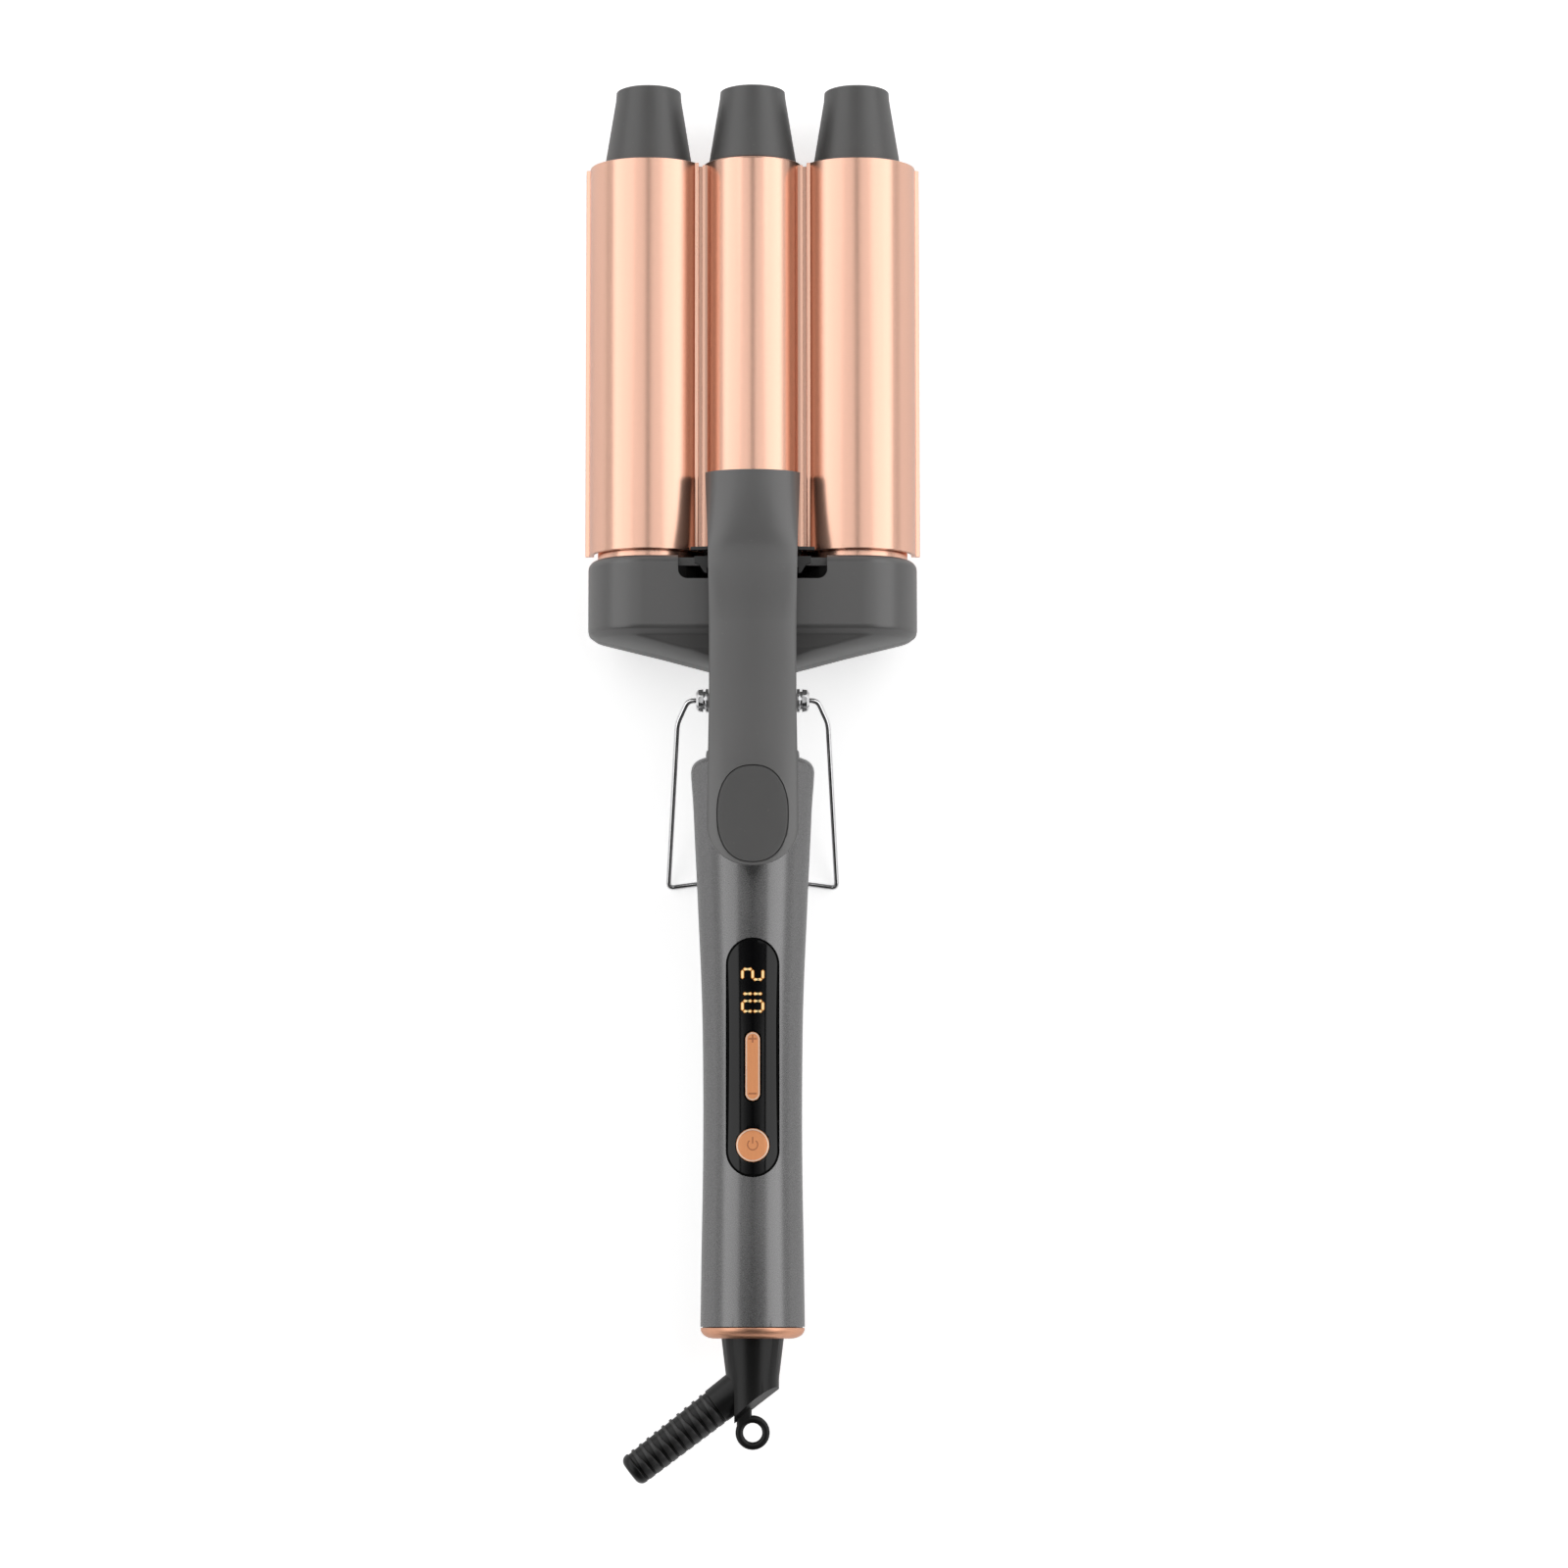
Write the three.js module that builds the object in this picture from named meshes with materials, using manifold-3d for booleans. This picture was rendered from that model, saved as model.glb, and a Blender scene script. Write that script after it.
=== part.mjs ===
// Three-barrel hair waver, in millimetres: a fixed jaw with two barrels, a sprung jaw with the third,
// a round handle with a display and buttons, a folding wire stand and a swivelling cord relief.
// +Y runs from the handle to the barrel tips, +X is to the right and +Z is the lever side.
// All sizes are laid out about the handle's axis, with y = 0 on the front face of the head.
// The finished group is moved so that its origin is the middle of the flat back of the head.
import * as THREE from 'three';
import { mergeVertices } from 'three/addons/utils/BufferGeometryUtils.js';
import Module from 'manifold-3d';

const wasm = await Module();
wasm.setup();

// Clearances
const GAP = 0.3; // between pieces that touch or run on each other
const SPLIT = 0.3; // between the two halves of a housing

// Barrels
const BARREL_RADIUS = 16;
const BARREL_WALL = 1.5;
const BARREL_PITCH = 33.6; // middle barrel to each outer one
const BARREL_LENGTH = 128.5; // in front of the head
const BARREL_ROOT = 10; // held inside the head
const BARREL_LIP = 3.7; // inward lip that holds the tip
const MIDDLE_RAISE = 4.2; // middle barrel above the outer ones

// Heaters inside the barrels
const HEATER_LENGTH = 72;
const HEATER_HALF_WIDTH = 5;
const HEATER_HALF_THICKNESS = 1.5;
const SPREADER_WALL = 1.6;
const SPREADER_WEB = 1.5;

// Barrel tips
const TIP_STEP = 2; // tip is this much smaller than its barrel
const TIP_TAPER = 3.4;
const TIP_LENGTH = 26.2;
const MIDDLE_TIP_LENGTH = 25.2;
const TIP_PLUG = 8;
const TIP_WALL = 2;

// Sheet jaws
const JAW_SHEET = 1.5;
const JAW_GAP = 1.25; // wing to outer barrel
const JAW_START = 2.2; // keeps the opening jaw clear of the head
const JAW_END_SETBACK = 0.2;
const WING_LIP = 1.3;
const WING_LIP_DROP = 1.96;
const VALLEY_HEIGHT = 11; // flat strip beside the middle barrel
const VALLEY_GROOVE = 1.2;
const VALLEY_GAP = 1.3; // middle barrel to the fixed valley plate
const BRACKET_THICKNESS = 1.0;
const BRACKET_ARM = 4.9; // past the inner edge of each wing
const BRACKET_FOOT = 13.1; // lower edge of its arms
const BRACKET_ARM_DEPTH = 1.6;
const TAB_FRONT = -1; // of the small tab beside the lever
const TAB_REACH = 4;
const TAB_LENGTH = 5.4;

// Head
const HEAD_SIDE_MARGIN = 2.9;
const HEAD_FACE_MARGIN = 5;
const HEAD_LENGTH = 23.3;
const HEAD_CORNER = 18;
const HEAD_FILLET = 3;
const NOTCH_HALF_WIDTH = 23.6; // opening in the head's front edge, under the lever
const NOTCH_REACH = 7.8;
const NOTCH_FLOOR = 13;
const NOTCH_CORNER = 3;
const HEAD_WALL = 2.4;
const TAPER_LENGTH = 11.9;

// Neck and collar
const NECK_HALF_WIDTH = 11;
const NECK_HALF_HEIGHT = 14;
const NECK_CORNER = 5;
const NECK_WALL = 2.2;
const NECK_LENGTH = 25.6; // end of the head's taper to the collar
const COLLAR_LENGTH = 2;
const COLLAR_RADIUS = 15;
const SPIGOT_RADIUS = 12;
const SPIGOT_LENGTH = 9;

// Handle
const HANDLE_LENGTH = 180;
const HANDLE_WALL = 2.2;
const HANDLE_FRONT_WALL = 2.5;
const HANDLE_SHOULDER = 19.7;
const HANDLE_WAIST = 15.75;
const HANDLE_END = 16.5;
const SCREW_FROM_SHOULDER = 20.9; // front handle screw
const SCREW_FROM_END = 29.1; // rear handle screw
const END_RING_LENGTH = 3.4;
const END_RING_FALL = 4.4; // the ring's domed rear comes in by this much

// Pivot, lever and spring
const PIVOT_SETBACK = 9.8; // behind the head's taper
const PIVOT_Z = 6;
const PIN_RADIUS = 2.4;
const LEVER_HALF_WIDTH = 13.75;
const LEVER_WALL = 2.3;
const LEVER_FRONT = 26.8;
const LEVER_REACH = 55.8; // pivot to the rear end
const LEVER_ROUND = 13; // length of the rounded rear end
const NUT_RADIUS = 3.45;
const NUT_LENGTH = 3.9;
const SPRING_WIRE = 0.6;
const SPRING_RADIUS = 4.1;
const SPRING_TURNS = 5;
const SPRING_PITCH = 1.7;
const SPRING_LEG = 16.4;
const SPRING_UPPER_LEG = 19.8;

// Thumb pad
const PAD_HALF_WIDTH = 11.1;
const PAD_MARGIN = 2.4; // to the lever's rear end
const PAD_LENGTH = 29.8;
const PAD_THICKNESS = 1.1;

// Stand
const STAND_WIRE = 0.8;
const STAND_ELBOW_X = 20.6;
const STAND_CORNER_X = 27.1;
const STAND_REACH = 57.6; // pivot to the rear bar, along the handle

// Display panel and buttons
const PANEL_FROM_END = 84.2; // middle of the panel to the rear end of the handle
const PANEL_HALF_LENGTH = 37.3;
const PANEL_HALF_WIDTH = 8.15;
const PANEL_PROUD = 0.2;
const PANEL_DEPTH = 3.65;
const PANEL_FLANGE = 1.5;
const ROCKER_SHIFT = -2.9; // from the middle of the panel
const ROCKER_HALF_LENGTH = 10.75;
const ROCKER_HALF_WIDTH = 2.3;
const ROCKER_CLEARANCE = 0.5;
const ROCKER_PIVOT_Z = 10.2;
const ROCKER_FOOT = 7; // rocker pivot to each of its switches
const POWER_SHIFT = -27.6;
const POWER_RADIUS = 5.2;
const BUTTON_FLANGE_TOP = 10.0;
const BUTTON_BOTTOM = 8.8;

// Circuit board
const BOARD_BOTTOM = 4;
const BOARD_THICKNESS = 1.6;
const BOARD_HALF_WIDTH = 9.5;
const BOARD_FRONT_REACH = 45.9; // from the middle of the panel
const BOARD_REAR_REACH = 46.1;
const SWITCH_HEIGHT = 1.5;
const PLUNGER_HEIGHT = 0.6;
const DISPLAY_SHIFT = 20.9;
const DISPLAY_HALF_LENGTH = 10.5;

// Cord relief
const SOCKET_FRONT_REACH = 18; // in front of the handle's rear end
const SOCKET_LENGTH = 7;
const RELIEF_BORE = 8.8;
const RELIEF_RECESS = 1; // the body's shoulder stands this deep in the ring
const RELIEF_CONE_FRONT = 9.95;
const RELIEF_CONE_REAR = 8.35;
const RELIEF_ELBOW_REACH = 16; // behind the handle's rear end
const RELIEF_MITRE = 7.8; // flat cut beside the elbow
const RELIEF_MITRE_LEAN = 15; // degrees
const TAIL_RADIUS = 6.1;
const TAIL_END_RADIUS = 5.3;
const TAIL_REACH_X = -38.6;
const TAIL_REACH_BACK = 29.8;
const TAIL_RIBS = 11;
const RIB_PITCH = 3.02;
const LOOP_SETBACK = 17.1; // behind the elbow
const LOOP_OUTER = 5.4;
const LOOP_INNER = 3;
const LOOP_HALF_THICKNESS = 2.5;

// Screws
const SCREW_RADIUS = 1.4;
const SCREW_HEAD_RADIUS = 2.9;
const SCREW_HEAD_LENGTH = 2;
const BOSS_RADIUS = 3.4;
const HEAD_SCREW_X = 9;
const HEAD_SCREW_MARGIN = 9.3; // to the start of the head's taper
const BOARD_SCREW_MARGIN = 3.4;

// Leads
const LEAD_RADIUS = 1.1;
const LEAD_X = 6;
const MIDDLE_HEATER_START = 26;
const FUSE_RADIUS = 1.9;
const FUSE_LENGTH = 10;

// Places worked out from the sizes above
const BARREL_BORE = BARREL_RADIUS - BARREL_WALL;
const BARREL_MOUTH = BARREL_RADIUS - BARREL_LIP;
const MIDDLE_TOP = MIDDLE_RAISE + BARREL_RADIUS;
const WING_INNER = BARREL_RADIUS + JAW_GAP;
const WING_OUTER = WING_INNER + JAW_SHEET;
const JAW_END = BARREL_LENGTH - JAW_END_SETBACK;
const HEAD_HALF_WIDTH = BARREL_PITCH + BARREL_RADIUS + HEAD_SIDE_MARGIN;
const HEAD_HALF_DEPTH = BARREL_RADIUS + HEAD_FACE_MARGIN;
const TAPER_END = -HEAD_LENGTH - TAPER_LENGTH;
const NECK_END = TAPER_END - NECK_LENGTH;
const COLLAR_REAR = NECK_END - COLLAR_LENGTH;
const HANDLE_FRONT = COLLAR_REAR - GAP;
const HANDLE_REAR = HANDLE_FRONT - HANDLE_LENGTH;
const PIVOT_Y = TAPER_END - PIVOT_SETBACK;
const LEVER_REAR = PIVOT_Y - LEVER_REACH;
const PAD_REAR = LEVER_REAR + PAD_MARGIN;
const PAD_FRONT = PAD_REAR + PAD_LENGTH;
const PANEL_CENTRE = HANDLE_REAR + PANEL_FROM_END;
const ROCKER_CENTRE = PANEL_CENTRE + ROCKER_SHIFT;
const POWER_CENTRE = PANEL_CENTRE + POWER_SHIFT;
const DISPLAY_CENTRE = PANEL_CENTRE + DISPLAY_SHIFT;
const BOARD_FRONT = PANEL_CENTRE + BOARD_FRONT_REACH;
const BOARD_REAR = PANEL_CENTRE - BOARD_REAR_REACH;
const HEAD_SCREW_Y = -HEAD_LENGTH + HEAD_SCREW_MARGIN;
const HANDLE_SCREWS_Y = [HANDLE_FRONT - SCREW_FROM_SHOULDER, HANDLE_REAR + SCREW_FROM_END];
const BOARD_SCREWS_Y = [BOARD_FRONT - BOARD_SCREW_MARGIN, BOARD_REAR + BOARD_SCREW_MARGIN];
const RELIEF_ELBOW_Y = HANDLE_REAR - RELIEF_ELBOW_REACH;
const LOOP_Y = RELIEF_ELBOW_Y - LOOP_SETBACK;
const PLATE_BOTTOM = HEAD_HALF_DEPTH + 0.35; // bracket plate over the head
const PLATE_TOP = PLATE_BOTTOM + 1.25;
const PLATE_REAR = JAW_START - 6.8;
const BOARD_TOP = BOARD_BOTTOM + BOARD_THICKNESS;
const HINGE_HOLE = PIN_RADIUS + GAP;
const NUT_INNER = LEVER_HALF_WIDTH + GAP;
const NUT_OUTER = NUT_INNER + NUT_LENGTH;
const WELL_ABOVE = HANDLE_SHOULDER * 3; // clear of every piece

// Finishes
const ROSE_GOLD = finish('#d9a07c', 0.28, 1);
const WARM_GREY = finish('#6a6867', 0.6, 0);
const DARK_GREY = finish('#4b4a4a', 0.65, 0);
const HANDLE_GREY = finish('#77767a', 0.42, 0.3);
const BLACK_GLOSS = finish('#0b0b0c', 0.08, 0);
const BLACK_SOFT = finish('#242424', 0.7, 0);
const CHROME = finish('#d8d8d8', 0.12, 1);
const STEEL = finish('#9a9a9a', 0.35, 1);
const BRASS = finish('#c8a24a', 0.3, 1);
const ALUMINIUM = finish('#b9bcc0', 0.4, 1);
const CERAMIC = finish('#e8e4da', 0.7, 0);
const BOARD_GREEN = finish('#1f5a38', 0.5, 0);
const RED_LEAD = finish('#9c2b23', 0.5, 0);
const BLUE_LEAD = finish('#2b4f9c', 0.5, 0);

const WHOLE = new THREE.Group();

function finish(color, roughness, metalness) {
  return new THREE.MeshStandardMaterial({ color, roughness, metalness });
}

// Solids from three.js geometry

function signedVolume(position, triangles) {
  let sum = 0;
  const corner = (i) => new THREE.Vector3().fromArray(position, i * 3);
  for (let t = 0; t < triangles.length; t += 3) {
    sum += corner(triangles[t]).dot(corner(triangles[t + 1]).cross(corner(triangles[t + 2])));
  }
  return sum / 6;
}

function solid(geometry) {
  const bare = geometry.clone();
  bare.deleteAttribute('normal');
  bare.deleteAttribute('uv');
  const merged = mergeVertices(bare, 1e-4);
  const source = merged.index.array;
  const triangles = [];
  for (let t = 0; t < source.length; t += 3) {
    const [a, b, c] = [source[t], source[t + 1], source[t + 2]];
    if (a !== b && b !== c && c !== a) {
      triangles.push(a, b, c);
    }
  }
  const position = merged.attributes.position.array;
  if (signedVolume(position, triangles) < 0) {
    for (let t = 0; t < triangles.length; t += 3) {
      [triangles[t + 1], triangles[t + 2]] = [triangles[t + 2], triangles[t + 1]];
    }
  }
  const mesh = new wasm.Mesh({
    numProp: 3,
    vertProperties: Float32Array.from(position),
    triVerts: Uint32Array.from(triangles),
  });
  return new wasm.Manifold(mesh);
}

function geometryOf(body) {
  const mesh = body.getMesh();
  const geometry = new THREE.BufferGeometry();
  geometry.setAttribute('position', new THREE.BufferAttribute(mesh.vertProperties, 3));
  geometry.setIndex(new THREE.BufferAttribute(mesh.triVerts, 1));
  geometry.computeVertexNormals();
  return geometry;
}

function add(name, body, material) {
  const mesh = new THREE.Mesh(geometryOf(body), material);
  mesh.name = name;
  WHOLE.add(mesh);
}

const join = (first, ...others) => others.reduce((sum, other) => sum.add(other), first);
const cut = (first, ...others) => others.reduce((rest, other) => rest.subtract(other), first);

// A turned piece about the long axis: points are [radius, y], offset to [x, z].
function turned(points, x = 0, z = 0, segments = 32) {
  const onAxis = points[0][0] === 0 && points[points.length - 1][0] === 0;
  const outline = onAxis ? points : [...points, points[0]];
  const geometry = new THREE.LatheGeometry(outline.map(([r, y]) => new THREE.Vector2(r, y)), segments);
  return solid(geometry.translate(x, 0, z));
}

function box([x0, x1], [y0, y1], [z0, z1]) {
  const geometry = new THREE.BoxGeometry(x1 - x0, y1 - y0, z1 - z0);
  return solid(geometry.translate((x0 + x1) / 2, (y0 + y1) / 2, (z0 + z1) / 2));
}

function rodY(radius, [y0, y1], x, z, segments = 20) {
  const geometry = new THREE.CylinderGeometry(radius, radius, y1 - y0, segments);
  return solid(geometry.translate(x, (y0 + y1) / 2, z));
}

function rodX(radius, [x0, x1], y, z, segments = 16) {
  const geometry = new THREE.CylinderGeometry(radius, radius, x1 - x0, segments);
  return solid(geometry.rotateZ(Math.PI / 2).translate((x0 + x1) / 2, y, z));
}

function rodZ(radius, [z0, z1], x, y, segments = 16) {
  const geometry = new THREE.CylinderGeometry(radius, radius, z1 - z0, segments);
  return solid(geometry.rotateX(Math.PI / 2).translate(x, y, (z0 + z1) / 2));
}

function extruded(outline, depth) {
  const shape = new THREE.Shape(outline.map(([u, v]) => new THREE.Vector2(u, v)));
  return new THREE.ExtrudeGeometry(shape, { depth, bevelEnabled: false });
}

// An outline of [x, z] points carried along the long axis.
function prismY(outline, [y0, y1]) {
  return solid(extruded(outline, y1 - y0).rotateX(Math.PI / 2).translate(0, y1, 0));
}

// An outline of [x, y] points carried upwards.
function prismZ(outline, [z0, z1]) {
  return solid(extruded(outline, z1 - z0).translate(0, 0, z0));
}

function arc(cx, cz, radius, fromDegrees, toDegrees, steps) {
  return Array.from({ length: steps + 1 }, (_, i) => {
    const angle = THREE.MathUtils.degToRad(fromDegrees + ((toDegrees - fromDegrees) * i) / steps);
    return [cx + radius * Math.cos(angle), cz + radius * Math.sin(angle)];
  });
}

function roundedBox(halfWidth, halfHeight, corner, steps = 4) {
  const [cx, cz] = [halfWidth - corner, halfHeight - corner];
  return [
    ...arc(cx, cz, corner, 0, 90, steps),
    ...arc(-cx, cz, corner, 90, 180, steps),
    ...arc(-cx, -cz, corner, 180, 270, steps),
    ...arc(cx, -cz, corner, 270, 360, steps),
  ];
}

// A stadium lying along y, centred on x = 0.
function stadium(halfWidth, halfLength, centre, steps = 10) {
  const reach = halfLength - halfWidth;
  return [
    ...arc(0, centre + reach, halfWidth, 0, 180, steps),
    ...arc(0, centre - reach, halfWidth, 180, 360, steps),
  ];
}

// A skin through outlines of [x, z] points at rising or falling y, closed with flat ends.
function loft(sections) {
  const count = sections[0].ring.length;
  const position = sections.flatMap(({ y, ring }) => ring.flatMap(([x, z]) => [x, y, z]));
  const index = [];
  for (let s = 0; s + 1 < sections.length; s += 1) {
    for (let i = 0; i < count; i += 1) {
      const a = s * count + i;
      const b = s * count + ((i + 1) % count);
      index.push(a, b, b + count, a, b + count, a + count);
    }
  }
  closeEnd(index, sections[0].ring, 0, true);
  closeEnd(index, sections[sections.length - 1].ring, (sections.length - 1) * count, false);
  const geometry = new THREE.BufferGeometry();
  geometry.setAttribute('position', new THREE.Float32BufferAttribute(position, 3));
  geometry.setIndex(index);
  return solid(geometry);
}

function closeEnd(index, ring, offset, reversed) {
  const points = ring.map(([x, z]) => new THREE.Vector2(x, z));
  const ringTurn = Math.sign(THREE.ShapeUtils.area(points));
  THREE.ShapeUtils.triangulateShape(points, []).forEach(([a, b, c]) => {
    const turn = Math.sign(THREE.ShapeUtils.area([points[a], points[b], points[c]]));
    const sameWay = turn === ringTurn;
    const flip = sameWay === reversed;
    index.push(offset + a, offset + (flip ? c : b), offset + (flip ? b : c));
  });
}

function wire(curve, radius, steps, sides = 8) {
  const section = new THREE.Shape(arc(0, 0, radius, 0, 360, sides).slice(0, sides)
    .map(([u, v]) => new THREE.Vector2(u, v)));
  return solid(new THREE.ExtrudeGeometry(section, { steps, extrudePath: curve, bevelEnabled: false }));
}

function path(points) {
  return new THREE.CatmullRomCurve3(points.map((p) => new THREE.Vector3(...p)), false, 'centripetal');
}

// A line of straight stretches with its corners rounded by bends that reach back by the given length.
function bentPath(points, bend) {
  const corners = points.map((p) => new THREE.Vector3(...p));
  const curve = new THREE.CurvePath();
  let start = corners[0];
  for (let i = 1; i + 1 < corners.length; i += 1) {
    const towards = (to) => corners[i].clone().add(to.clone().sub(corners[i]).setLength(bend));
    const [enter, leave] = [towards(corners[i - 1]), towards(corners[i + 1])];
    curve.add(new THREE.LineCurve3(start, enter));
    curve.add(new THREE.QuadraticBezierCurve3(enter, corners[i], leave));
    start = leave;
  }
  curve.add(new THREE.LineCurve3(start, corners[corners.length - 1]));
  return curve;
}

// A smooth or straight line through [y, value] points, read at any y.
function profile(points, smooth = true) {
  const vectors = points.map(([y, value]) => new THREE.Vector2(y, value));
  const samples = smooth ? new THREE.SplineCurve(vectors).getPoints(240) : vectors;
  const rising = samples[0].x < samples[samples.length - 1].x ? samples : [...samples].reverse();
  return (y) => {
    const next = rising.findIndex((sample) => sample.x >= y);
    if (next === 0) {
      return rising[0].y;
    }
    if (next < 0) {
      return rising[rising.length - 1].y;
    }
    const [low, high] = [rising[next - 1], rising[next]];
    return low.y + ((high.y - low.y) * (y - low.x)) / (high.x - low.x);
  };
}

// Screws

function screw(name, x, y, headZ, length, direction) {
  const far = headZ + direction * (SCREW_HEAD_LENGTH + length);
  const seat = headZ + direction * SCREW_HEAD_LENGTH;
  const span = (a, b) => [Math.min(a, b), Math.max(a, b)];
  const head = rodZ(SCREW_HEAD_RADIUS, span(headZ, seat), x, y, 10);
  const shank = rodZ(SCREW_RADIUS, span(headZ + direction, far), x, y, 8);
  const recess = rodZ(1.1, span(headZ - direction, headZ + direction * 0.9), x, y, 4);
  add(name, cut(join(head, shank), recess), STEEL);
}

// Head and neck

function headSolid() {
  const full = [HEAD_HALF_WIDTH, HEAD_HALF_DEPTH, HEAD_CORNER];
  const inset = (amount) => full.map((value) => value - amount);
  const at = (y, [halfWidth, halfHeight, corner]) => ({ y, ring: roundedBox(halfWidth, halfHeight, corner) });
  const taper = TAPER_END + HEAD_LENGTH;
  return loft([
    at(0, inset(HEAD_FILLET)),
    at(-HEAD_FILLET * 0.3, inset(HEAD_FILLET * 0.3)),
    at(-HEAD_FILLET, full),
    at(-HEAD_LENGTH, full),
    at(-HEAD_LENGTH + taper * 0.16, inset(2.6)),
    at(-HEAD_LENGTH + taper * 0.53, [HEAD_HALF_WIDTH * 0.59, HEAD_HALF_DEPTH * 0.83, HEAD_CORNER * 0.66]),
    at(-HEAD_LENGTH + taper * 0.93, [NECK_HALF_WIDTH + 2, NECK_HALF_HEIGHT, NECK_CORNER + 2]),
    at(TAPER_END, [NECK_HALF_WIDTH, NECK_HALF_HEIGHT, NECK_CORNER]),
  ]);
}

function headHollow() {
  const at = (y, halfWidth, halfHeight, corner) => ({ y, ring: roundedBox(halfWidth, halfHeight, corner) });
  const [w, h, r] = [HEAD_HALF_WIDTH - HEAD_WALL, HEAD_HALF_DEPTH - HEAD_WALL, HEAD_CORNER - HEAD_WALL];
  const taper = TAPER_END + HEAD_LENGTH;
  const throat = [NECK_HALF_WIDTH - NECK_WALL, NECK_HALF_HEIGHT - NECK_WALL, NECK_CORNER - NECK_WALL + 0.7];
  return loft([
    at(-HEAD_WALL - 0.2, w - 0.2, h - 0.2, r - 0.2),
    at(-HEAD_LENGTH + 2.3, w, h, r),
    at(-HEAD_LENGTH + 0.5, w - 2.6, h - 1.3, r - 1.7),
    at(-HEAD_LENGTH + taper * 0.32, HEAD_HALF_WIDTH * 0.55, HEAD_HALF_DEPTH * 0.72, HEAD_CORNER * 0.54),
    at(-HEAD_LENGTH + taper * 0.72, throat[0] + 0.7, throat[1] + 0.2, throat[2] + 0.3),
    at(TAPER_END - 1, ...throat),
    at(NECK_END - 0.2, ...throat),
  ]);
}

function neckSolid() {
  const tube = prismY(roundedBox(NECK_HALF_WIDTH, NECK_HALF_HEIGHT, NECK_CORNER), [NECK_END, TAPER_END + 1]);
  const flangeFront = HANDLE_FRONT - HANDLE_FRONT_WALL - GAP;
  const collar = turned([
    [0, NECK_END + 0.5], [COLLAR_RADIUS - 1, NECK_END + 0.5], [COLLAR_RADIUS, NECK_END - 0.5],
    [COLLAR_RADIUS, COLLAR_REAR], [SPIGOT_RADIUS, COLLAR_REAR],
    [SPIGOT_RADIUS, flangeFront], [SPIGOT_RADIUS + 2.3, flangeFront],
    [SPIGOT_RADIUS + 2.3, flangeFront - 2], [SPIGOT_RADIUS, flangeFront - 2],
    [SPIGOT_RADIUS, COLLAR_REAR - SPIGOT_LENGTH], [0, COLLAR_REAR - SPIGOT_LENGTH],
  ], 0, 0, 36);
  return join(tube, collar);
}

function housings() {
  const spigotBore = rodY(SPIGOT_RADIUS - 2.5, [COLLAR_REAR - SPIGOT_LENGTH - 1, NECK_END + 1], 0, 0, 28);
  const pinHole = rodX(HINGE_HOLE, [-NECK_HALF_WIDTH - 1, NECK_HALF_WIDTH + 1], PIVOT_Y, PIVOT_Z);
  const hollow = join(headHollow(), spigotBore, pinHole);
  const socket = (x) => rodY(BARREL_RADIUS + GAP, [-BARREL_ROOT, 1], x, 0, 32);
  const sockets = [socket(-BARREL_PITCH), socket(BARREL_PITCH)];
  const shell = cut(join(headSolid(), neckSolid()), hollow, ...sockets);
  const far = HEAD_HALF_WIDTH * 2;
  const above = box([-far, far], [-far * 2, far], [SPLIT / 2, far]);
  const below = box([-far, far], [-far * 2, far], [-far, -SPLIT / 2]);
  const floor = -HEAD_HALF_DEPTH + HEAD_WALL;
  let upper = shell.intersect(above);
  let lower = shell.intersect(below);
  [-1, 1].forEach((side) => {
    const x = side * HEAD_SCREW_X;
    const pilot = SCREW_RADIUS + GAP;
    upper = cut(join(upper, rodZ(BOSS_RADIUS, [SPLIT / 2, -floor + 0.5], x, HEAD_SCREW_Y)),
      rodZ(pilot, [-1, 9], x, HEAD_SCREW_Y, 12));
    lower = cut(join(lower, rodZ(BOSS_RADIUS + 0.8, [floor - 0.5, -SPLIT / 2], x, HEAD_SCREW_Y)),
      rodZ(pilot, [floor - 9, 1], x, HEAD_SCREW_Y, 12),
      rodZ(SCREW_HEAD_RADIUS + GAP, [-far, -HEAD_HALF_DEPTH + 5], x, HEAD_SCREW_Y, 16));
  });
  const legX = (SPRING_TURNS * SPRING_PITCH) / 2;
  const legY = PIVOT_Y + SPRING_RADIUS;
  const slotZ = [NECK_HALF_HEIGHT - NECK_WALL - 2, far];
  const springSlot = box([legX - 1.4, legX + 1.4], [legY - 1.8, legY + 1.8], slotZ);
  const notch = prismZ(roundedBox(NOTCH_HALF_WIDTH, NOTCH_REACH, NOTCH_CORNER), [NOTCH_FLOOR, far]);
  add('head_upper_housing', cut(upper, springSlot, notch), WARM_GREY);
  add('head_lower_housing', lower, WARM_GREY);
  const screwHead = -HEAD_HALF_DEPTH + 5 - SCREW_HEAD_LENGTH - 0.1;
  screw('head_screw_left', -HEAD_SCREW_X, HEAD_SCREW_Y, screwHead, 22, 1);
  screw('head_screw_right', HEAD_SCREW_X, HEAD_SCREW_Y, screwHead, 22, 1);
}

// Barrels, tips and heaters

function barrelTube(x, z, start) {
  return turned([
    [BARREL_RADIUS, start], [BARREL_RADIUS, BARREL_LENGTH - 0.6], [BARREL_RADIUS - 0.6, BARREL_LENGTH],
    [BARREL_MOUTH, BARREL_LENGTH], [BARREL_MOUTH, BARREL_LENGTH - BARREL_WALL],
    [BARREL_BORE, BARREL_LENGTH - BARREL_WALL], [BARREL_BORE, start],
  ], x, z, 32);
}

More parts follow.
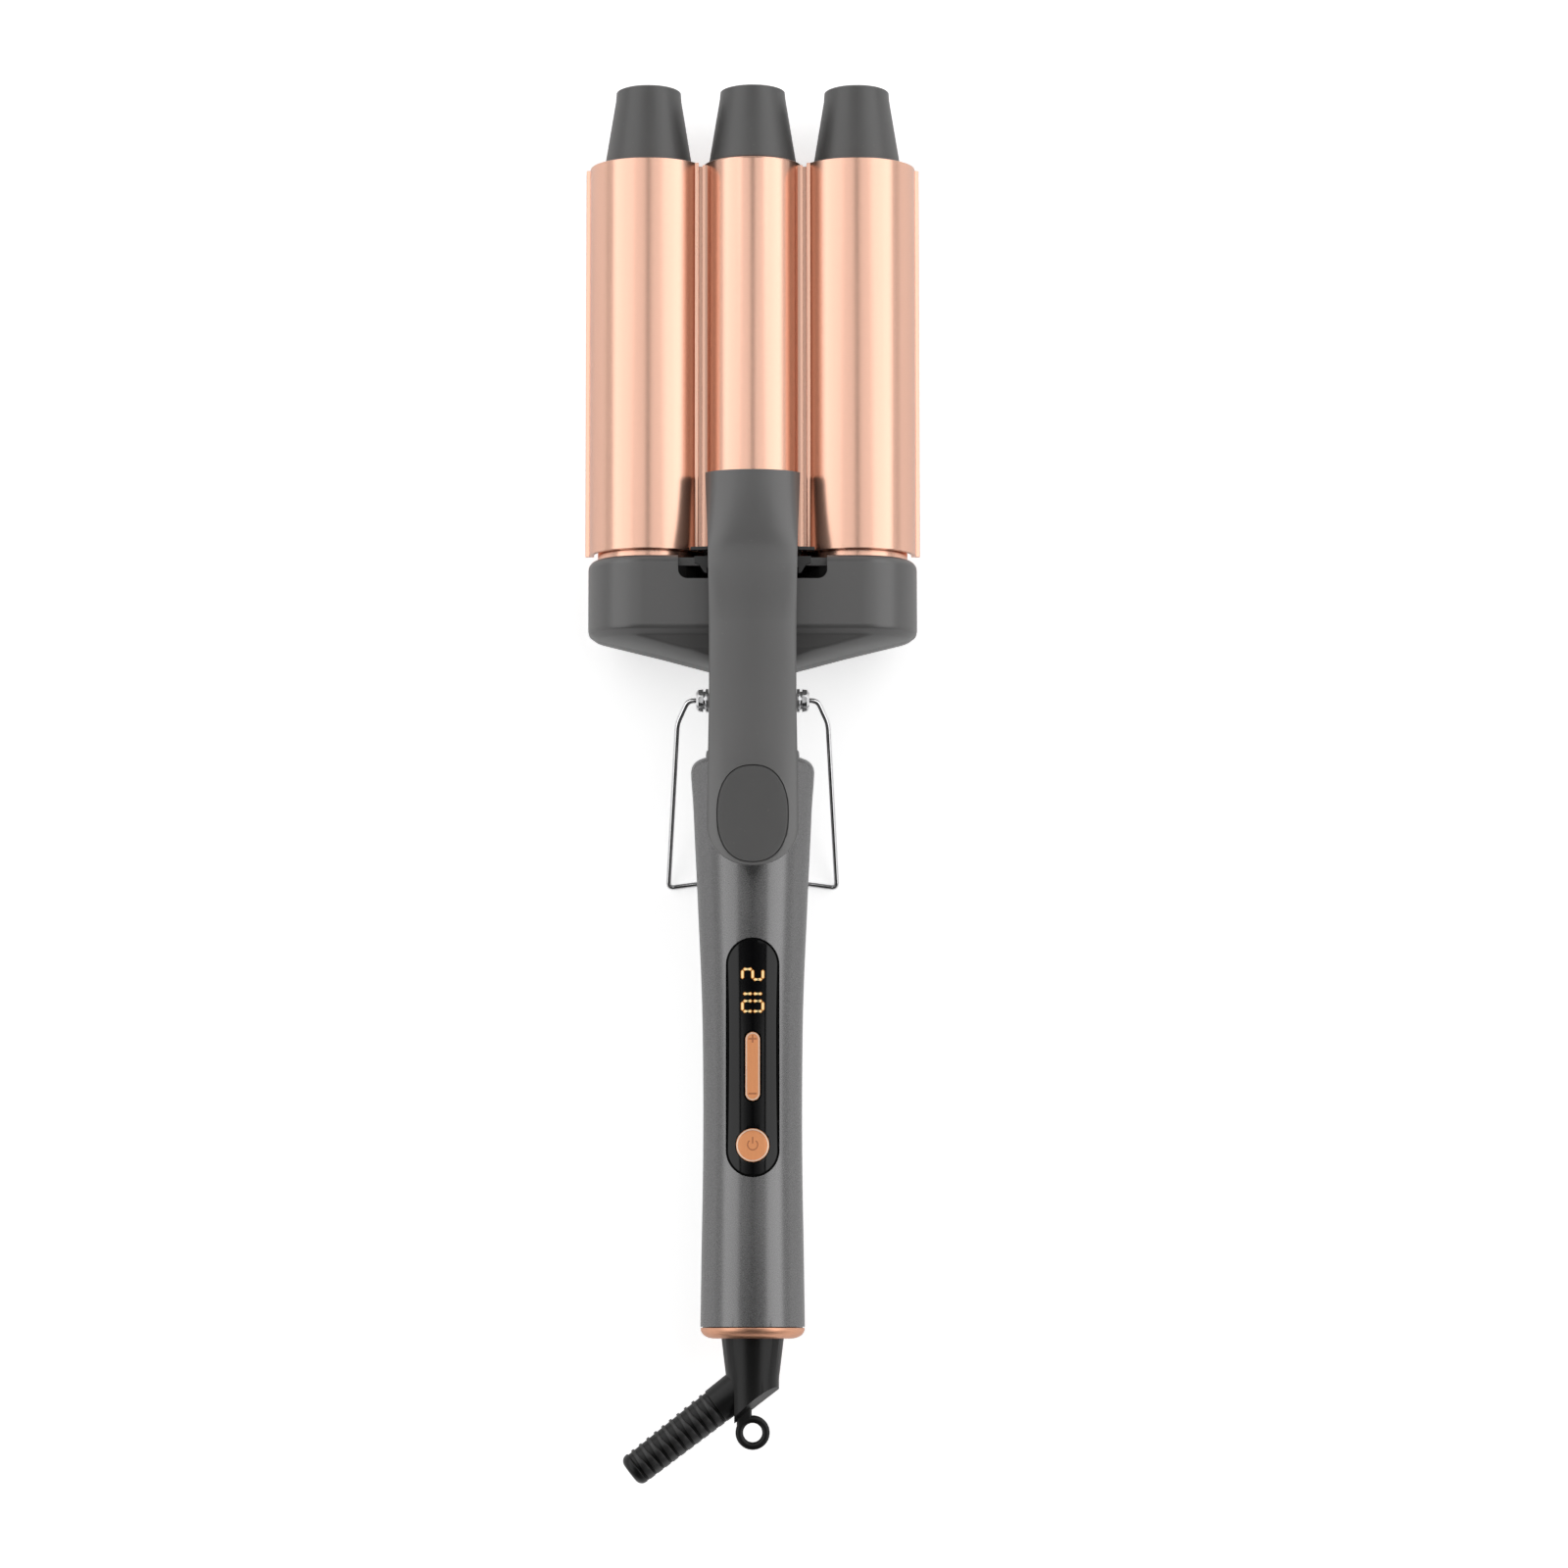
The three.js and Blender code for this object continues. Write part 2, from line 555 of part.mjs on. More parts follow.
function tip(name, x, z, length, flatness) {
  const base = BARREL_RADIUS - TIP_STEP;
  const end = base - TIP_TAPER;
  const seat = BARREL_LENGTH + GAP;
  const shoulder = seat + length - flatness;
  const plug = BARREL_MOUTH - GAP;
  const ceiling = shoulder - TIP_WALL;
  add(name, turned([
    [0, ceiling], [end - 0.5 - TIP_WALL, ceiling], [plug - TIP_WALL, seat],
    [plug - TIP_WALL, BARREL_LENGTH - TIP_PLUG], [plug, BARREL_LENGTH - TIP_PLUG], [plug, seat], [base, seat],
    [base, seat + 0.8], [end, shoulder - 1.2], [end - 0.5, shoulder], [end - 1.7, shoulder + flatness * 0.5],
    [end * 0.5, shoulder + flatness * 0.85], [0, shoulder + flatness],
  ], x, z, 20), DARK_GREY);
}

function heaterSet(side, x, z, start) {
  const [from, to] = [start, start + HEATER_LENGTH];
  const [halfWidth, halfHeight] = [HEATER_HALF_WIDTH, HEATER_HALF_THICKNESS];
  const reach = BARREL_BORE - GAP;
  const slabWidth = halfWidth + SPREADER_WALL;
  const round = rodY(reach, [from + 4, to - 4], x, z, 28);
  const slab = box([x - slabWidth, x + slabWidth], [from + 3, to - 3], [z - reach, z + reach]);
  const slotHeight = halfHeight + GAP;
  const slot = box([x - halfWidth - GAP, x + slabWidth + 1], [from, to], [z - slotHeight, z + slotHeight]);
  const webHeight = [halfHeight + GAP + SPREADER_WALL, reach - 2 * SPREADER_WALL];
  const pockets = [-1, 1].flatMap((across) => [-1, 1].map((up) => box(
    [x + across * SPREADER_WEB, x + across * (slabWidth + 1)].sort((a, b) => a - b),
    [from, to],
    webHeight.map((height) => z + up * height).sort((a, b) => a - b),
  )));
  add(`heat_spreader_${side}`, cut(round.intersect(slab), slot, ...pockets), ALUMINIUM);
  const stick = box([x - halfWidth, x + halfWidth], [from, to], [z - halfHeight, z + halfHeight]);
  add(`heater_${side}`, stick, CERAMIC);
}

function fixedBarrels() {
  [['left', -1], ['right', 1]].forEach(([side, sign]) => {
    const x = sign * BARREL_PITCH;
    add(`barrel_${side}`, barrelTube(x, 0, -BARREL_ROOT), ROSE_GOLD);
    tip(`tip_${side}`, x, 0, TIP_LENGTH, 4.4);
    const seatReach = HEAD_HALF_DEPTH - HEAD_WALL - 0.9;
    const seatFront = -HEAD_WALL - 0.2 - GAP;
    const seat = turned([
      [BARREL_RADIUS + GAP, seatFront], [seatReach, seatFront],
      [seatReach, -BARREL_ROOT + 1], [BARREL_RADIUS + GAP, -BARREL_ROOT + 1],
    ], x, 0, 24);
    const inward = [x - sign * (seatReach + 1), x + sign * (BARREL_RADIUS - 1.8)].sort((a, b) => a - b);
    const openSide = box(inward, [-BARREL_ROOT, 0], [-WELL_ABOVE, WELL_ABOVE]);
    add(`barrel_seat_${side}`, seat.intersect(openSide), BLACK_SOFT);
    heaterSet(side, x, 0, 2);
  });
}

function valleyPlate() {
  const inner = BARREL_RADIUS + VALLEY_GAP;
  const outer = inner + JAW_SHEET;
  const [shelfTop, shelfBottom] = [-7.0, -8.5];
  const wallAt = (z) => BARREL_PITCH - Math.sqrt((BARREL_RADIUS + GAP) ** 2 - z ** 2);
  const outline = [
    ...arc(0, MIDDLE_RAISE, inner, 220, 320, 14),
    [wallAt(shelfTop) - 1.4, shelfTop], [wallAt(shelfTop), shelfTop],
    [wallAt(shelfBottom), shelfBottom],
    ...arc(0, MIDDLE_RAISE, outer, 317, 223, 14),
    [-wallAt(shelfBottom), shelfBottom],
    [-wallAt(shelfTop), shelfTop], [-wallAt(shelfTop) + 1.4, shelfTop],
  ];
  add('lower_valley_plate', prismY(outline, [GAP, JAW_END]), ROSE_GOLD);
}

// Sprung jaw

function wings() {
  [['left', -1], ['right', 1]].forEach(([side, sign]) => {
    const mirrored = (points) => points.map(([x, z]) => [sign * x, z]);
    const start = -Math.asin(WING_LIP_DROP / WING_OUTER) * THREE.MathUtils.RAD2DEG;
    const top = 180 - Math.asin(VALLEY_HEIGHT / WING_OUTER) * THREE.MathUtils.RAD2DEG;
    const shelf = BARREL_PITCH - WING_OUTER * Math.cos(THREE.MathUtils.degToRad(180 - top)) - 1.15;
    const sheet = 1;
    const outline = mirrored([
      [BARREL_PITCH + WING_OUTER + WING_LIP, -WING_LIP_DROP],
      [BARREL_PITCH + WING_OUTER + WING_LIP, -WING_LIP_DROP + 0.9],
      ...arc(BARREL_PITCH, 0, WING_OUTER, start + 4, top, 18),
      [shelf, VALLEY_HEIGHT], [shelf, VALLEY_HEIGHT - sheet],
      ...arc(BARREL_PITCH, 0, WING_INNER, top + 0.5, start, 18),
    ]);
    add(`wing_${side}`, prismY(outline, [JAW_START, JAW_END]), ROSE_GOLD);
    const railTop = VALLEY_HEIGHT - sheet - GAP;
    const railFoot = railTop - 2.3;
    const wallAt = (z) => Math.sqrt((BARREL_RADIUS + GAP) ** 2 - (z - MIDDLE_RAISE) ** 2);
    const rail = mirrored([
      [wallAt(railTop) + 0.3, railTop], [shelf + 1.9, railTop],
      [shelf + 0.7, railFoot], [wallAt(railFoot), railFoot],
    ]);
    add(`jaw_rail_${side}`, prismY(rail, [JAW_START + BRACKET_THICKNESS + GAP, JAW_END - 1]), ROSE_GOLD);
  });
}

function middleBarrel() {
  const start = JAW_START + BRACKET_THICKNESS + GAP;
  const groove = BARREL_PITCH - Math.sqrt(WING_OUTER ** 2 - VALLEY_HEIGHT ** 2) - 1.15 - VALLEY_GROOVE;
  const finRoot = Math.sqrt(BARREL_RADIUS ** 2 - (VALLEY_HEIGHT - MIDDLE_RAISE) ** 2) - 0.8;
  let tube = barrelTube(0, MIDDLE_RAISE, start);
  [-1, 1].forEach((sign) => {
    const span = [sign * finRoot, sign * groove].sort((a, b) => a - b);
    tube = tube.add(box(span, [start, BARREL_LENGTH - 1], [VALLEY_HEIGHT - 1, VALLEY_HEIGHT]));
  });
  saddleScrewsY().forEach((y) => {
    tube = tube.subtract(rodZ(SCREW_RADIUS + GAP, [MIDDLE_TOP - 4, MIDDLE_TOP + 1], 0, y, 12));
  });
  add('barrel_middle', tube, ROSE_GOLD);
  tip('tip_middle', 0, MIDDLE_RAISE, MIDDLE_TIP_LENGTH, 3.6);
  heaterSet('middle', 0, MIDDLE_RAISE, MIDDLE_HEATER_START);
}

function saddleScrewsY() {
  return [LEVER_FRONT - 16, LEVER_FRONT - 7];
}

function jawBracket() {
  const armReach = BARREL_PITCH - WING_OUTER + BRACKET_ARM;
  const [front, rear] = [JAW_START + BRACKET_THICKNESS, JAW_START];
  const [rim, spigot, eye] = [BARREL_RADIUS - 0.4, BARREL_BORE - GAP, 3];
  const disc = turned([
    [eye, rear], [rim, rear], [rim, front], [spigot, front],
    [spigot, front + 5], [spigot - 2, front + 5], [spigot - 2, front], [eye, front],
  ], 0, MIDDLE_RAISE, 32);
  const armTop = BRACKET_FOOT + BRACKET_ARM_DEPTH;
  const bothSides = (half) => [...half, ...half.map(([x, other]) => [-x, other]).reverse()];
  const web = prismY(bothSides([
    [armReach, BRACKET_FOOT], [armReach, armTop], [LEVER_HALF_WIDTH + 1, armTop + 0.8],
    [LEVER_HALF_WIDTH, armTop + 2.4], [LEVER_HALF_WIDTH, PLATE_TOP],
  ]), [rear, front]);
  const edge = LEVER_HALF_WIDTH + 0.7;
  const plate = prismZ(bothSides([
    [LEVER_HALF_WIDTH, front], [LEVER_HALF_WIDTH, TAB_FRONT], [edge + TAB_REACH, TAB_FRONT],
    [edge + TAB_REACH - 0.1, TAB_FRONT - 2], [edge + TAB_REACH * 0.6, TAB_FRONT - TAB_LENGTH / 2],
    [edge + 0.8, TAB_FRONT - TAB_LENGTH + 0.2], [edge, TAB_FRONT - TAB_LENGTH], [edge, PLATE_REAR],
    [LEVER_HALF_WIDTH, PLATE_REAR],
  ]), [PLATE_BOTTOM, PLATE_TOP]);
  const leadHole = box([-2, 2], [rear - 1, front + 6], [MIDDLE_RAISE - 2, PLATE_BOTTOM - 3]);
  add('jaw_bracket', cut(join(disc, web, plate), leadHole), DARK_GREY);
}

// Lever

// Each line along the lever is a list of [y, value]: its top, the drop of its sides, half its width
// and the lower edge of its sides.
const leverTop = profile([
  [LEVER_FRONT + 6, MIDDLE_TOP + 2.3], [LEVER_FRONT, MIDDLE_TOP + 2.8], [LEVER_FRONT - 18, MIDDLE_TOP + 6.3],
  [JAW_START, PLATE_TOP + 5.8], [-HEAD_LENGTH, PLATE_TOP + 7], [PIVOT_Y, PIVOT_Z + 24.6],
  [HANDLE_FRONT, PIVOT_Z + 27], [LEVER_REAR + 20.8, PIVOT_Z + 31.2],
  [LEVER_REAR, PIVOT_Z + 37.8], [LEVER_REAR - 10, PIVOT_Z + 41],
]);
const leverCrown = profile([
  [LEVER_FRONT, 7.2], [LEVER_FRONT - 13, 5.2], [JAW_START, 2.6], [-HEAD_LENGTH, 2.7],
  [PIVOT_Y, 2.5], [LEVER_REAR + 20.8, 2.8], [LEVER_REAR, 2.9],
], false);
const leverWidth = profile([
  [LEVER_FRONT, LEVER_HALF_WIDTH + 1.35], [LEVER_FRONT - 13, LEVER_HALF_WIDTH + 0.85],
  [JAW_START, LEVER_HALF_WIDTH + 0.45], [-HEAD_LENGTH * 0.6, LEVER_HALF_WIDTH + 0.15],
  [PIVOT_Y, LEVER_HALF_WIDTH],
  [LEVER_REAR + 20.8, LEVER_HALF_WIDTH + 0.5], [LEVER_REAR, LEVER_HALF_WIDTH + 0.6],
], false);
const leverSkirt = profile([
  [LEVER_FRONT, VALLEY_HEIGHT + 1], [JAW_START + 2.2, VALLEY_HEIGHT + 3], [JAW_START + 1.4, PLATE_TOP + GAP],
  [PLATE_REAR - 0.4, PLATE_TOP + GAP], [PLATE_REAR - 1.4, HEAD_HALF_DEPTH + 0.6],
  [-HEAD_LENGTH, HEAD_HALF_DEPTH + 0.6], [-HEAD_LENGTH - 3.7, HEAD_HALF_DEPTH - 1.2],
  [TAPER_END + 1, NECK_HALF_HEIGHT + 2.4], [PIVOT_Y + 8.6, NECK_HALF_HEIGHT + 0.8],
  [PIVOT_Y + 7, PIVOT_Z + 2],
  [PIVOT_Y + 5, PIVOT_Z - 3], [PIVOT_Y, PIVOT_Z - 4.6], [PIVOT_Y - 5, PIVOT_Z - 3.4],
  [PIVOT_Y - 9, PIVOT_Z + 4],
  [PIVOT_Y - 13, PIVOT_Z + 13], [PIVOT_Y - 18, PIVOT_Z + 18.8], [PIVOT_Y - 25, PIVOT_Z + 21.6],
  [PIVOT_Y - 35, PIVOT_Z + 25.2], [LEVER_REAR + 8.8, PIVOT_Z + 29.9], [LEVER_REAR + 4.8, PIVOT_Z + 32],
  [LEVER_REAR, PIVOT_Z + 34.4],
], false);
const LEVER_STATIONS = [
  LEVER_FRONT, LEVER_FRONT - 6, LEVER_FRONT - 12, LEVER_FRONT - 18, JAW_START + 2.2, JAW_START + 1.4,
  PLATE_REAR - 0.4, PLATE_REAR - 1.4, -HEAD_LENGTH * 0.6, -HEAD_LENGTH, -HEAD_LENGTH - 3.7, TAPER_END + 1,
  ...[8.6, 7, 5, 0, -5, -9, -13, -18, -25, -31].map((along) => PIVOT_Y + along),
];

function crownedRing(halfWidth, top, crown, bottom, steps = 6) {
  const ring = [[-halfWidth, bottom]];
  for (let i = 0; i <= steps; i += 1) {
    const across = -1 + (2 * i) / steps;
    const drop = 1 - Math.sqrt(1 - 0.96 * across ** 2);
    ring.push([across * halfWidth, top - (crown * drop) / 0.8]);
  }
  return [...ring, [halfWidth, bottom]];
}

function leverSections(inset, rear) {
  const section = (y, halfWidth, bottom) => ({
    y, ring: crownedRing(halfWidth, leverTop(y) - inset, leverCrown(y), bottom),
  });
  const skirt = (y) => (inset > 0 ? -NECK_HALF_HEIGHT : leverSkirt(y));
  const straight = LEVER_STATIONS.map((y) => section(y, leverWidth(y) - inset, skirt(y)));
  const rounding = [0, 0.3, 0.55, 0.75, 0.88, 0.96, 0.995].map((share) => {
    const y = rear + LEVER_ROUND - share * LEVER_ROUND;
    return section(y, (leverWidth(y) - inset) * Math.sqrt(1 - share ** 2), skirt(y));
  });
  return [...straight, ...rounding];
}

function padOutline(grow) {
  const [centre, reach] = [(PAD_FRONT + PAD_REAR) / 2, (PAD_FRONT - PAD_REAR) / 2 + grow];
  return arc(0, 0, 1, 0, 360, 28).slice(0, 28).map(([u, v]) => {
    const square = (value) => Math.sign(value) * Math.abs(value) ** 0.86;
    return [square(u) * (PAD_HALF_WIDTH + grow), centre + square(v) * reach];
  });
}

function lever() {
  const outer = loft(leverSections(0, LEVER_REAR));
  const hollow = loft(leverSections(LEVER_WALL, LEVER_REAR + LEVER_WALL));
  const wide = [-HEAD_HALF_WIDTH, HEAD_HALF_WIDTH];
  const aboveHead = box(wide, [LEVER_REAR - 1, PLATE_REAR - 1.4], [-WELL_ABOVE, 2 * WELL_ABOVE]);
  const barrelBed = rodY(BARREL_RADIUS + GAP, [JAW_START - 1, LEVER_FRONT + 9], 0, MIDDLE_RAISE, 32);
  const pinHole = rodX(HINGE_HOLE, wide, PIVOT_Y, PIVOT_Z);
  const screwHole = (y) => rodZ(SCREW_RADIUS + GAP, [MIDDLE_TOP - 4, MIDDLE_TOP + 1.5], 0, y, 12);
  const lowered = (depth) => outer.translate([0, 0, -depth]);
  const above = [PIVOT_Z, WELL_ABOVE];
  const recess = prismZ(padOutline(GAP), above).subtract(lowered(PAD_THICKNESS + GAP));
  const holes = [pinHole, ...saddleScrewsY().map(screwHole)];
  const cover = cut(outer, hollow.intersect(aboveHead), barrelBed, ...holes, recess);
  add('lever_cover', cover, WARM_GREY);
  const disc = prismZ(padOutline(0), above);
  add('thumb_pad', disc.intersect(lowered(0.1)).subtract(lowered(PAD_THICKNESS)), DARK_GREY);
  saddleScrewsY().forEach((y, i) => {
    const bore = MIDDLE_RAISE + BARREL_BORE;
    screw(`saddle_screw_${i + 1}`, 0, y, bore - 2 * GAP - SCREW_HEAD_LENGTH, BARREL_WALL + 1.4, 1);
  });
}

// Hinge pin, nuts and spring

function hingePin() {
  const reach = NUT_INNER + 1.6;
  const socket = (span) => rodX(STAND_WIRE + GAP, span, PIVOT_Y, PIVOT_Z, 8);
  const ends = [socket([-reach - 1, -reach + 2.2]), socket([reach - 2.2, reach + 1])];
  add('hinge_pin', cut(rodX(PIN_RADIUS, [-reach, reach], PIVOT_Y, PIVOT_Z), ...ends), STEEL);
  [['left', -1], ['right', 1]].forEach(([side, sign]) => {
    const span = (a, b) => [sign * a, sign * b].sort((p, q) => p - q);
    const flange = rodX(NUT_RADIUS + 0.35, span(NUT_INNER, NUT_INNER + 0.9), PIVOT_Y, PIVOT_Z, 12);
    const barrel = rodX(NUT_RADIUS - 0.35, span(NUT_INNER, NUT_INNER + 2.6), PIVOT_Y, PIVOT_Z, 12);
    const cap = rodX(NUT_RADIUS, span(NUT_INNER + 2.4, NUT_OUTER), PIVOT_Y, PIVOT_Z, 6);
    const bore = rodX(HINGE_HOLE, span(NUT_INNER - 1, reach + GAP), PIVOT_Y, PIVOT_Z, 12);
    const wireHole = rodX(STAND_WIRE + GAP, span(NUT_INNER - 1, NUT_OUTER + 1), PIVOT_Y, PIVOT_Z, 8);
    add(`pin_nut_${side}`, cut(join(flange, barrel, cap), bore, wireHole), CHROME);
  });
}

// One leg runs back from under the pin, the coil climbs along it, and the other leg rises to the lever.
class SpringPath extends THREE.Curve {
  getPoint(t) {
    const width = SPRING_TURNS * SPRING_PITCH;
    const coil = (SPRING_TURNS + 0.25) * 2 * Math.PI * SPRING_RADIUS;
    const along = t * (SPRING_LEG + SPRING_UPPER_LEG + coil);
    if (along < SPRING_LEG) {
      return new THREE.Vector3(-width / 2, PIVOT_Y - SPRING_LEG + along, PIVOT_Z - SPRING_RADIUS);
    }
    if (along < SPRING_LEG + coil) {
      const share = (along - SPRING_LEG) / coil;
      const angle = -Math.PI / 2 + share * (SPRING_TURNS + 0.25) * 2 * Math.PI;
      const [dy, dz] = [SPRING_RADIUS * Math.cos(angle), SPRING_RADIUS * Math.sin(angle)];
      return new THREE.Vector3((share - 0.5) * width, PIVOT_Y + dy, PIVOT_Z + dz);
    }
    return new THREE.Vector3(width / 2, PIVOT_Y + SPRING_RADIUS, PIVOT_Z + along - SPRING_LEG - coil);
  }
}

function torsionSpring() {
  add('torsion_spring', wire(new SpringPath(), SPRING_WIRE, 54, 5), STEEL);
  const turnGap = SPRING_PITCH - 2 * SPRING_WIRE;
  console.log(`torsion spring: least gap between turns ${turnGap.toFixed(2)} mm`);
}

function stand() {
  const barZ = -HEAD_HALF_DEPTH + STAND_WIRE + 0.05;
  const barY = PIVOT_Y - STAND_REACH;
  const kneeZ = PIVOT_Z - 3;
  const half = (sign) => [
    [sign * (NUT_INNER + 1), PIVOT_Y, PIVOT_Z], [sign * STAND_ELBOW_X, PIVOT_Y, PIVOT_Z],
    [sign * (STAND_ELBOW_X + 3.4), PIVOT_Y - 7, kneeZ], [sign * STAND_CORNER_X, barY, barZ],
    [sign * 17.5, barY + 1.3, barZ],
  ];
  const curve = bentPath([...half(-1), ...half(1).reverse()], 2);
  add('stand_wire', wire(curve, STAND_WIRE, 60, 6), CHROME);
}

// Handle

// The handle from its shoulder through the slim part to its end: [distance behind the front, radius].
const HANDLE_OUTLINE = [
  [4.2, HANDLE_SHOULDER], [14, 19.0], [26.5, 18.4], [39.3, 17.75], [51.7, 17.2], [64.2, 16.6], [79, 16.05],
  [97, HANDLE_WAIST], [HANDLE_LENGTH - 48, HANDLE_WAIST], [HANDLE_LENGTH - 24, HANDLE_WAIST + 0.4],
  [HANDLE_LENGTH, HANDLE_END],
].map(([back, radius]) => [HANDLE_FRONT - back, radius]);
const handleRadius = profile(HANDLE_OUTLINE, false);

function handleSolid(grow) {
  const nose = [[HANDLE_SHOULDER - 4.6, 0], [HANDLE_SHOULDER - 2.3, 0.9], [HANDLE_SHOULDER - 0.7, 2.4]];
  return turned([
    [0, HANDLE_FRONT], ...nose.map(([r, back]) => [r + grow, HANDLE_FRONT - back]),
    ...HANDLE_OUTLINE.map(([y, radius]) => [radius + grow, y]), [0, HANDLE_REAR],
  ], 0, 0, 32);
}

function handleShells() {
  const innerFront = HANDLE_FRONT - HANDLE_FRONT_WALL;
  const hollow = turned([
    [0, innerFront], [handleRadius(innerFront) - HANDLE_WALL - 1, innerFront],
    ...HANDLE_OUTLINE.map(([y, radius]) => [radius - HANDLE_WALL, Math.min(y, innerFront - 1)]),
    [HANDLE_END - HANDLE_WALL, HANDLE_REAR - 1], [0, HANDLE_REAR - 1],
  ], 0, 0, 24);
  const spigotHole = rodY(SPIGOT_RADIUS + GAP, [innerFront - 1, HANDLE_FRONT + 1], 0, 0, 32);
  const tube = cut(handleSolid(0), hollow, spigotHole);
  const far = WELL_ABOVE;
  const half = (z) => box([-far, far], [HANDLE_REAR - 5, HANDLE_FRONT + 5], z);
  const window = prismZ(stadium(PANEL_HALF_WIDTH + GAP, PANEL_HALF_LENGTH + GAP, PANEL_CENTRE), [0, far]);
  const inside = handleSolid(-HANDLE_WALL / 2);
  let upper = cut(tube.intersect(half([SPLIT / 2, far])), window);
  let lower = tube.intersect(half([-far, -SPLIT / 2]));
  const pilot = SCREW_RADIUS + GAP;
  HANDLE_SCREWS_Y.forEach((y) => {
    const upperBoss = rodZ(BOSS_RADIUS, [SPLIT / 2, far], 0, y).intersect(inside);
    const lowerBoss = rodZ(BOSS_RADIUS + 0.6, [-far, -SPLIT / 2], 0, y).intersect(inside);
    const headHole = rodZ(SCREW_HEAD_RADIUS + GAP, [-far, handleScrewSeat(y)], 0, y, 16);
    upper = cut(join(upper, upperBoss), rodZ(pilot, [-1, 8], 0, y, 12));
    lower = cut(join(lower, lowerBoss), rodZ(pilot, [-far, 1], 0, y, 12), headHole);
  });
  BOARD_SCREWS_Y.forEach((y) => {
    const boss = rodZ(BOSS_RADIUS - 1, [BOARD_TOP + GAP, far], 0, y).intersect(inside);
    upper = cut(join(upper, boss), rodZ(pilot, [0, BOARD_TOP + 5], 0, y, 12));
  });
  add('handle_upper_shell', upper, HANDLE_GREY);
  add('handle_lower_shell', lower, HANDLE_GREY);
  HANDLE_SCREWS_Y.forEach((y, i) => {
    screw(`handle_screw_${i + 1}`, 0, y, handleScrewSeat(y) - SCREW_HEAD_LENGTH - 0.1, 16, 1);
  });
  BOARD_SCREWS_Y.forEach((y, i) => {
    screw(`board_screw_${i + 1}`, 0, y, BOARD_BOTTOM - GAP - SCREW_HEAD_LENGTH, 5.5, 1);
  });
}

function handleScrewSeat(y) {
  return -handleRadius(y) + 5.5;
}

function endRing() {
  const spigot = HANDLE_END - HANDLE_WALL - 1.5 * GAP;
  const front = HANDLE_REAR - GAP;
  const rear = front - END_RING_LENGTH;
  const [outer, edge] = [HANDLE_END - 0.2, front - 0.4];
  const dome = [0, 30, 60, 90].map((degrees) => {
    const angle = THREE.MathUtils.degToRad(degrees);
    return [outer - END_RING_FALL * (1 - Math.cos(angle)), edge + (rear - edge) * Math.sin(angle)];
  });
  const [recess, step] = [RELIEF_CONE_FRONT + GAP, rear + RELIEF_RECESS + GAP];
  add('end_ring', turned([
    [RELIEF_BORE, HANDLE_REAR + 6], [spigot, HANDLE_REAR + 6], [spigot, front], [outer, front],
    ...dome, [recess, rear], [recess, step], [RELIEF_BORE, step],
  ], 0, 0, 36), ROSE_GOLD);
}

// Display, buttons and electronics

function displayPanel() {
  const skin = (proud, depth, width, length) => {
    const outer = handleSolid(proud);
    const inner = handleSolid(-depth);
    return outer.subtract(inner).intersect(prismZ(stadium(width, length, PANEL_CENTRE), [2, WELL_ABOVE]));
  };
  const pane = skin(PANEL_PROUD, PANEL_DEPTH, PANEL_HALF_WIDTH, PANEL_HALF_LENGTH);
  const [flangeWidth, flangeLength] = [PANEL_HALF_WIDTH + PANEL_FLANGE, PANEL_HALF_LENGTH + PANEL_FLANGE];
  const flange = skin(-HANDLE_WALL - GAP, PANEL_DEPTH, flangeWidth, flangeLength);
  const slotWidth = ROCKER_HALF_WIDTH + ROCKER_CLEARANCE;
  const slotLength = ROCKER_HALF_LENGTH + ROCKER_CLEARANCE;
  const slot = prismZ(stadium(slotWidth, slotLength, ROCKER_CENTRE), [0, WELL_ABOVE]);
  const hole = rodZ(POWER_RADIUS + GAP, [0, WELL_ABOVE], 0, POWER_CENTRE, 24);
  add('display_lens', cut(join(pane, flange), slot, hole), BLACK_GLOSS);
}

function controls() {
  const surface = handleSolid(PANEL_PROUD + 0.2);
  const power = join(
    rodZ(POWER_RADIUS, [BUTTON_FLANGE_TOP - 0.5, WELL_ABOVE], 0, POWER_CENTRE, 24).intersect(surface),
    rodZ(POWER_RADIUS + 1.1, [BUTTON_FLANGE_TOP - 1, BUTTON_FLANGE_TOP], 0, POWER_CENTRE, 24),
    rodZ(1.5, [BUTTON_BOTTOM, BUTTON_FLANGE_TOP], 0, POWER_CENTRE, 12),
  );
  add('power_button', power, ROSE_GOLD);
  const outline = stadium(ROCKER_HALF_WIDTH, ROCKER_HALF_LENGTH, ROCKER_CENTRE);
  const plate = prismZ(outline, [ROCKER_PIVOT_Z - 0.9, WELL_ABOVE]);
  const feetY = [ROCKER_CENTRE - ROCKER_FOOT, ROCKER_CENTRE + ROCKER_FOOT];
  const feet = feetY.map((y) => rodZ(1.4, [BUTTON_BOTTOM, ROCKER_PIVOT_Z], 0, y, 12));
  const trunnionReach = ROCKER_HALF_WIDTH + 1.9;
  const trunnions = rodX(0.9, [-trunnionReach, trunnionReach], ROCKER_CENTRE, ROCKER_PIVOT_Z, 12);
  add('temperature_rocker', join(plate.intersect(surface), trunnions, ...feet), ROSE_GOLD);
}

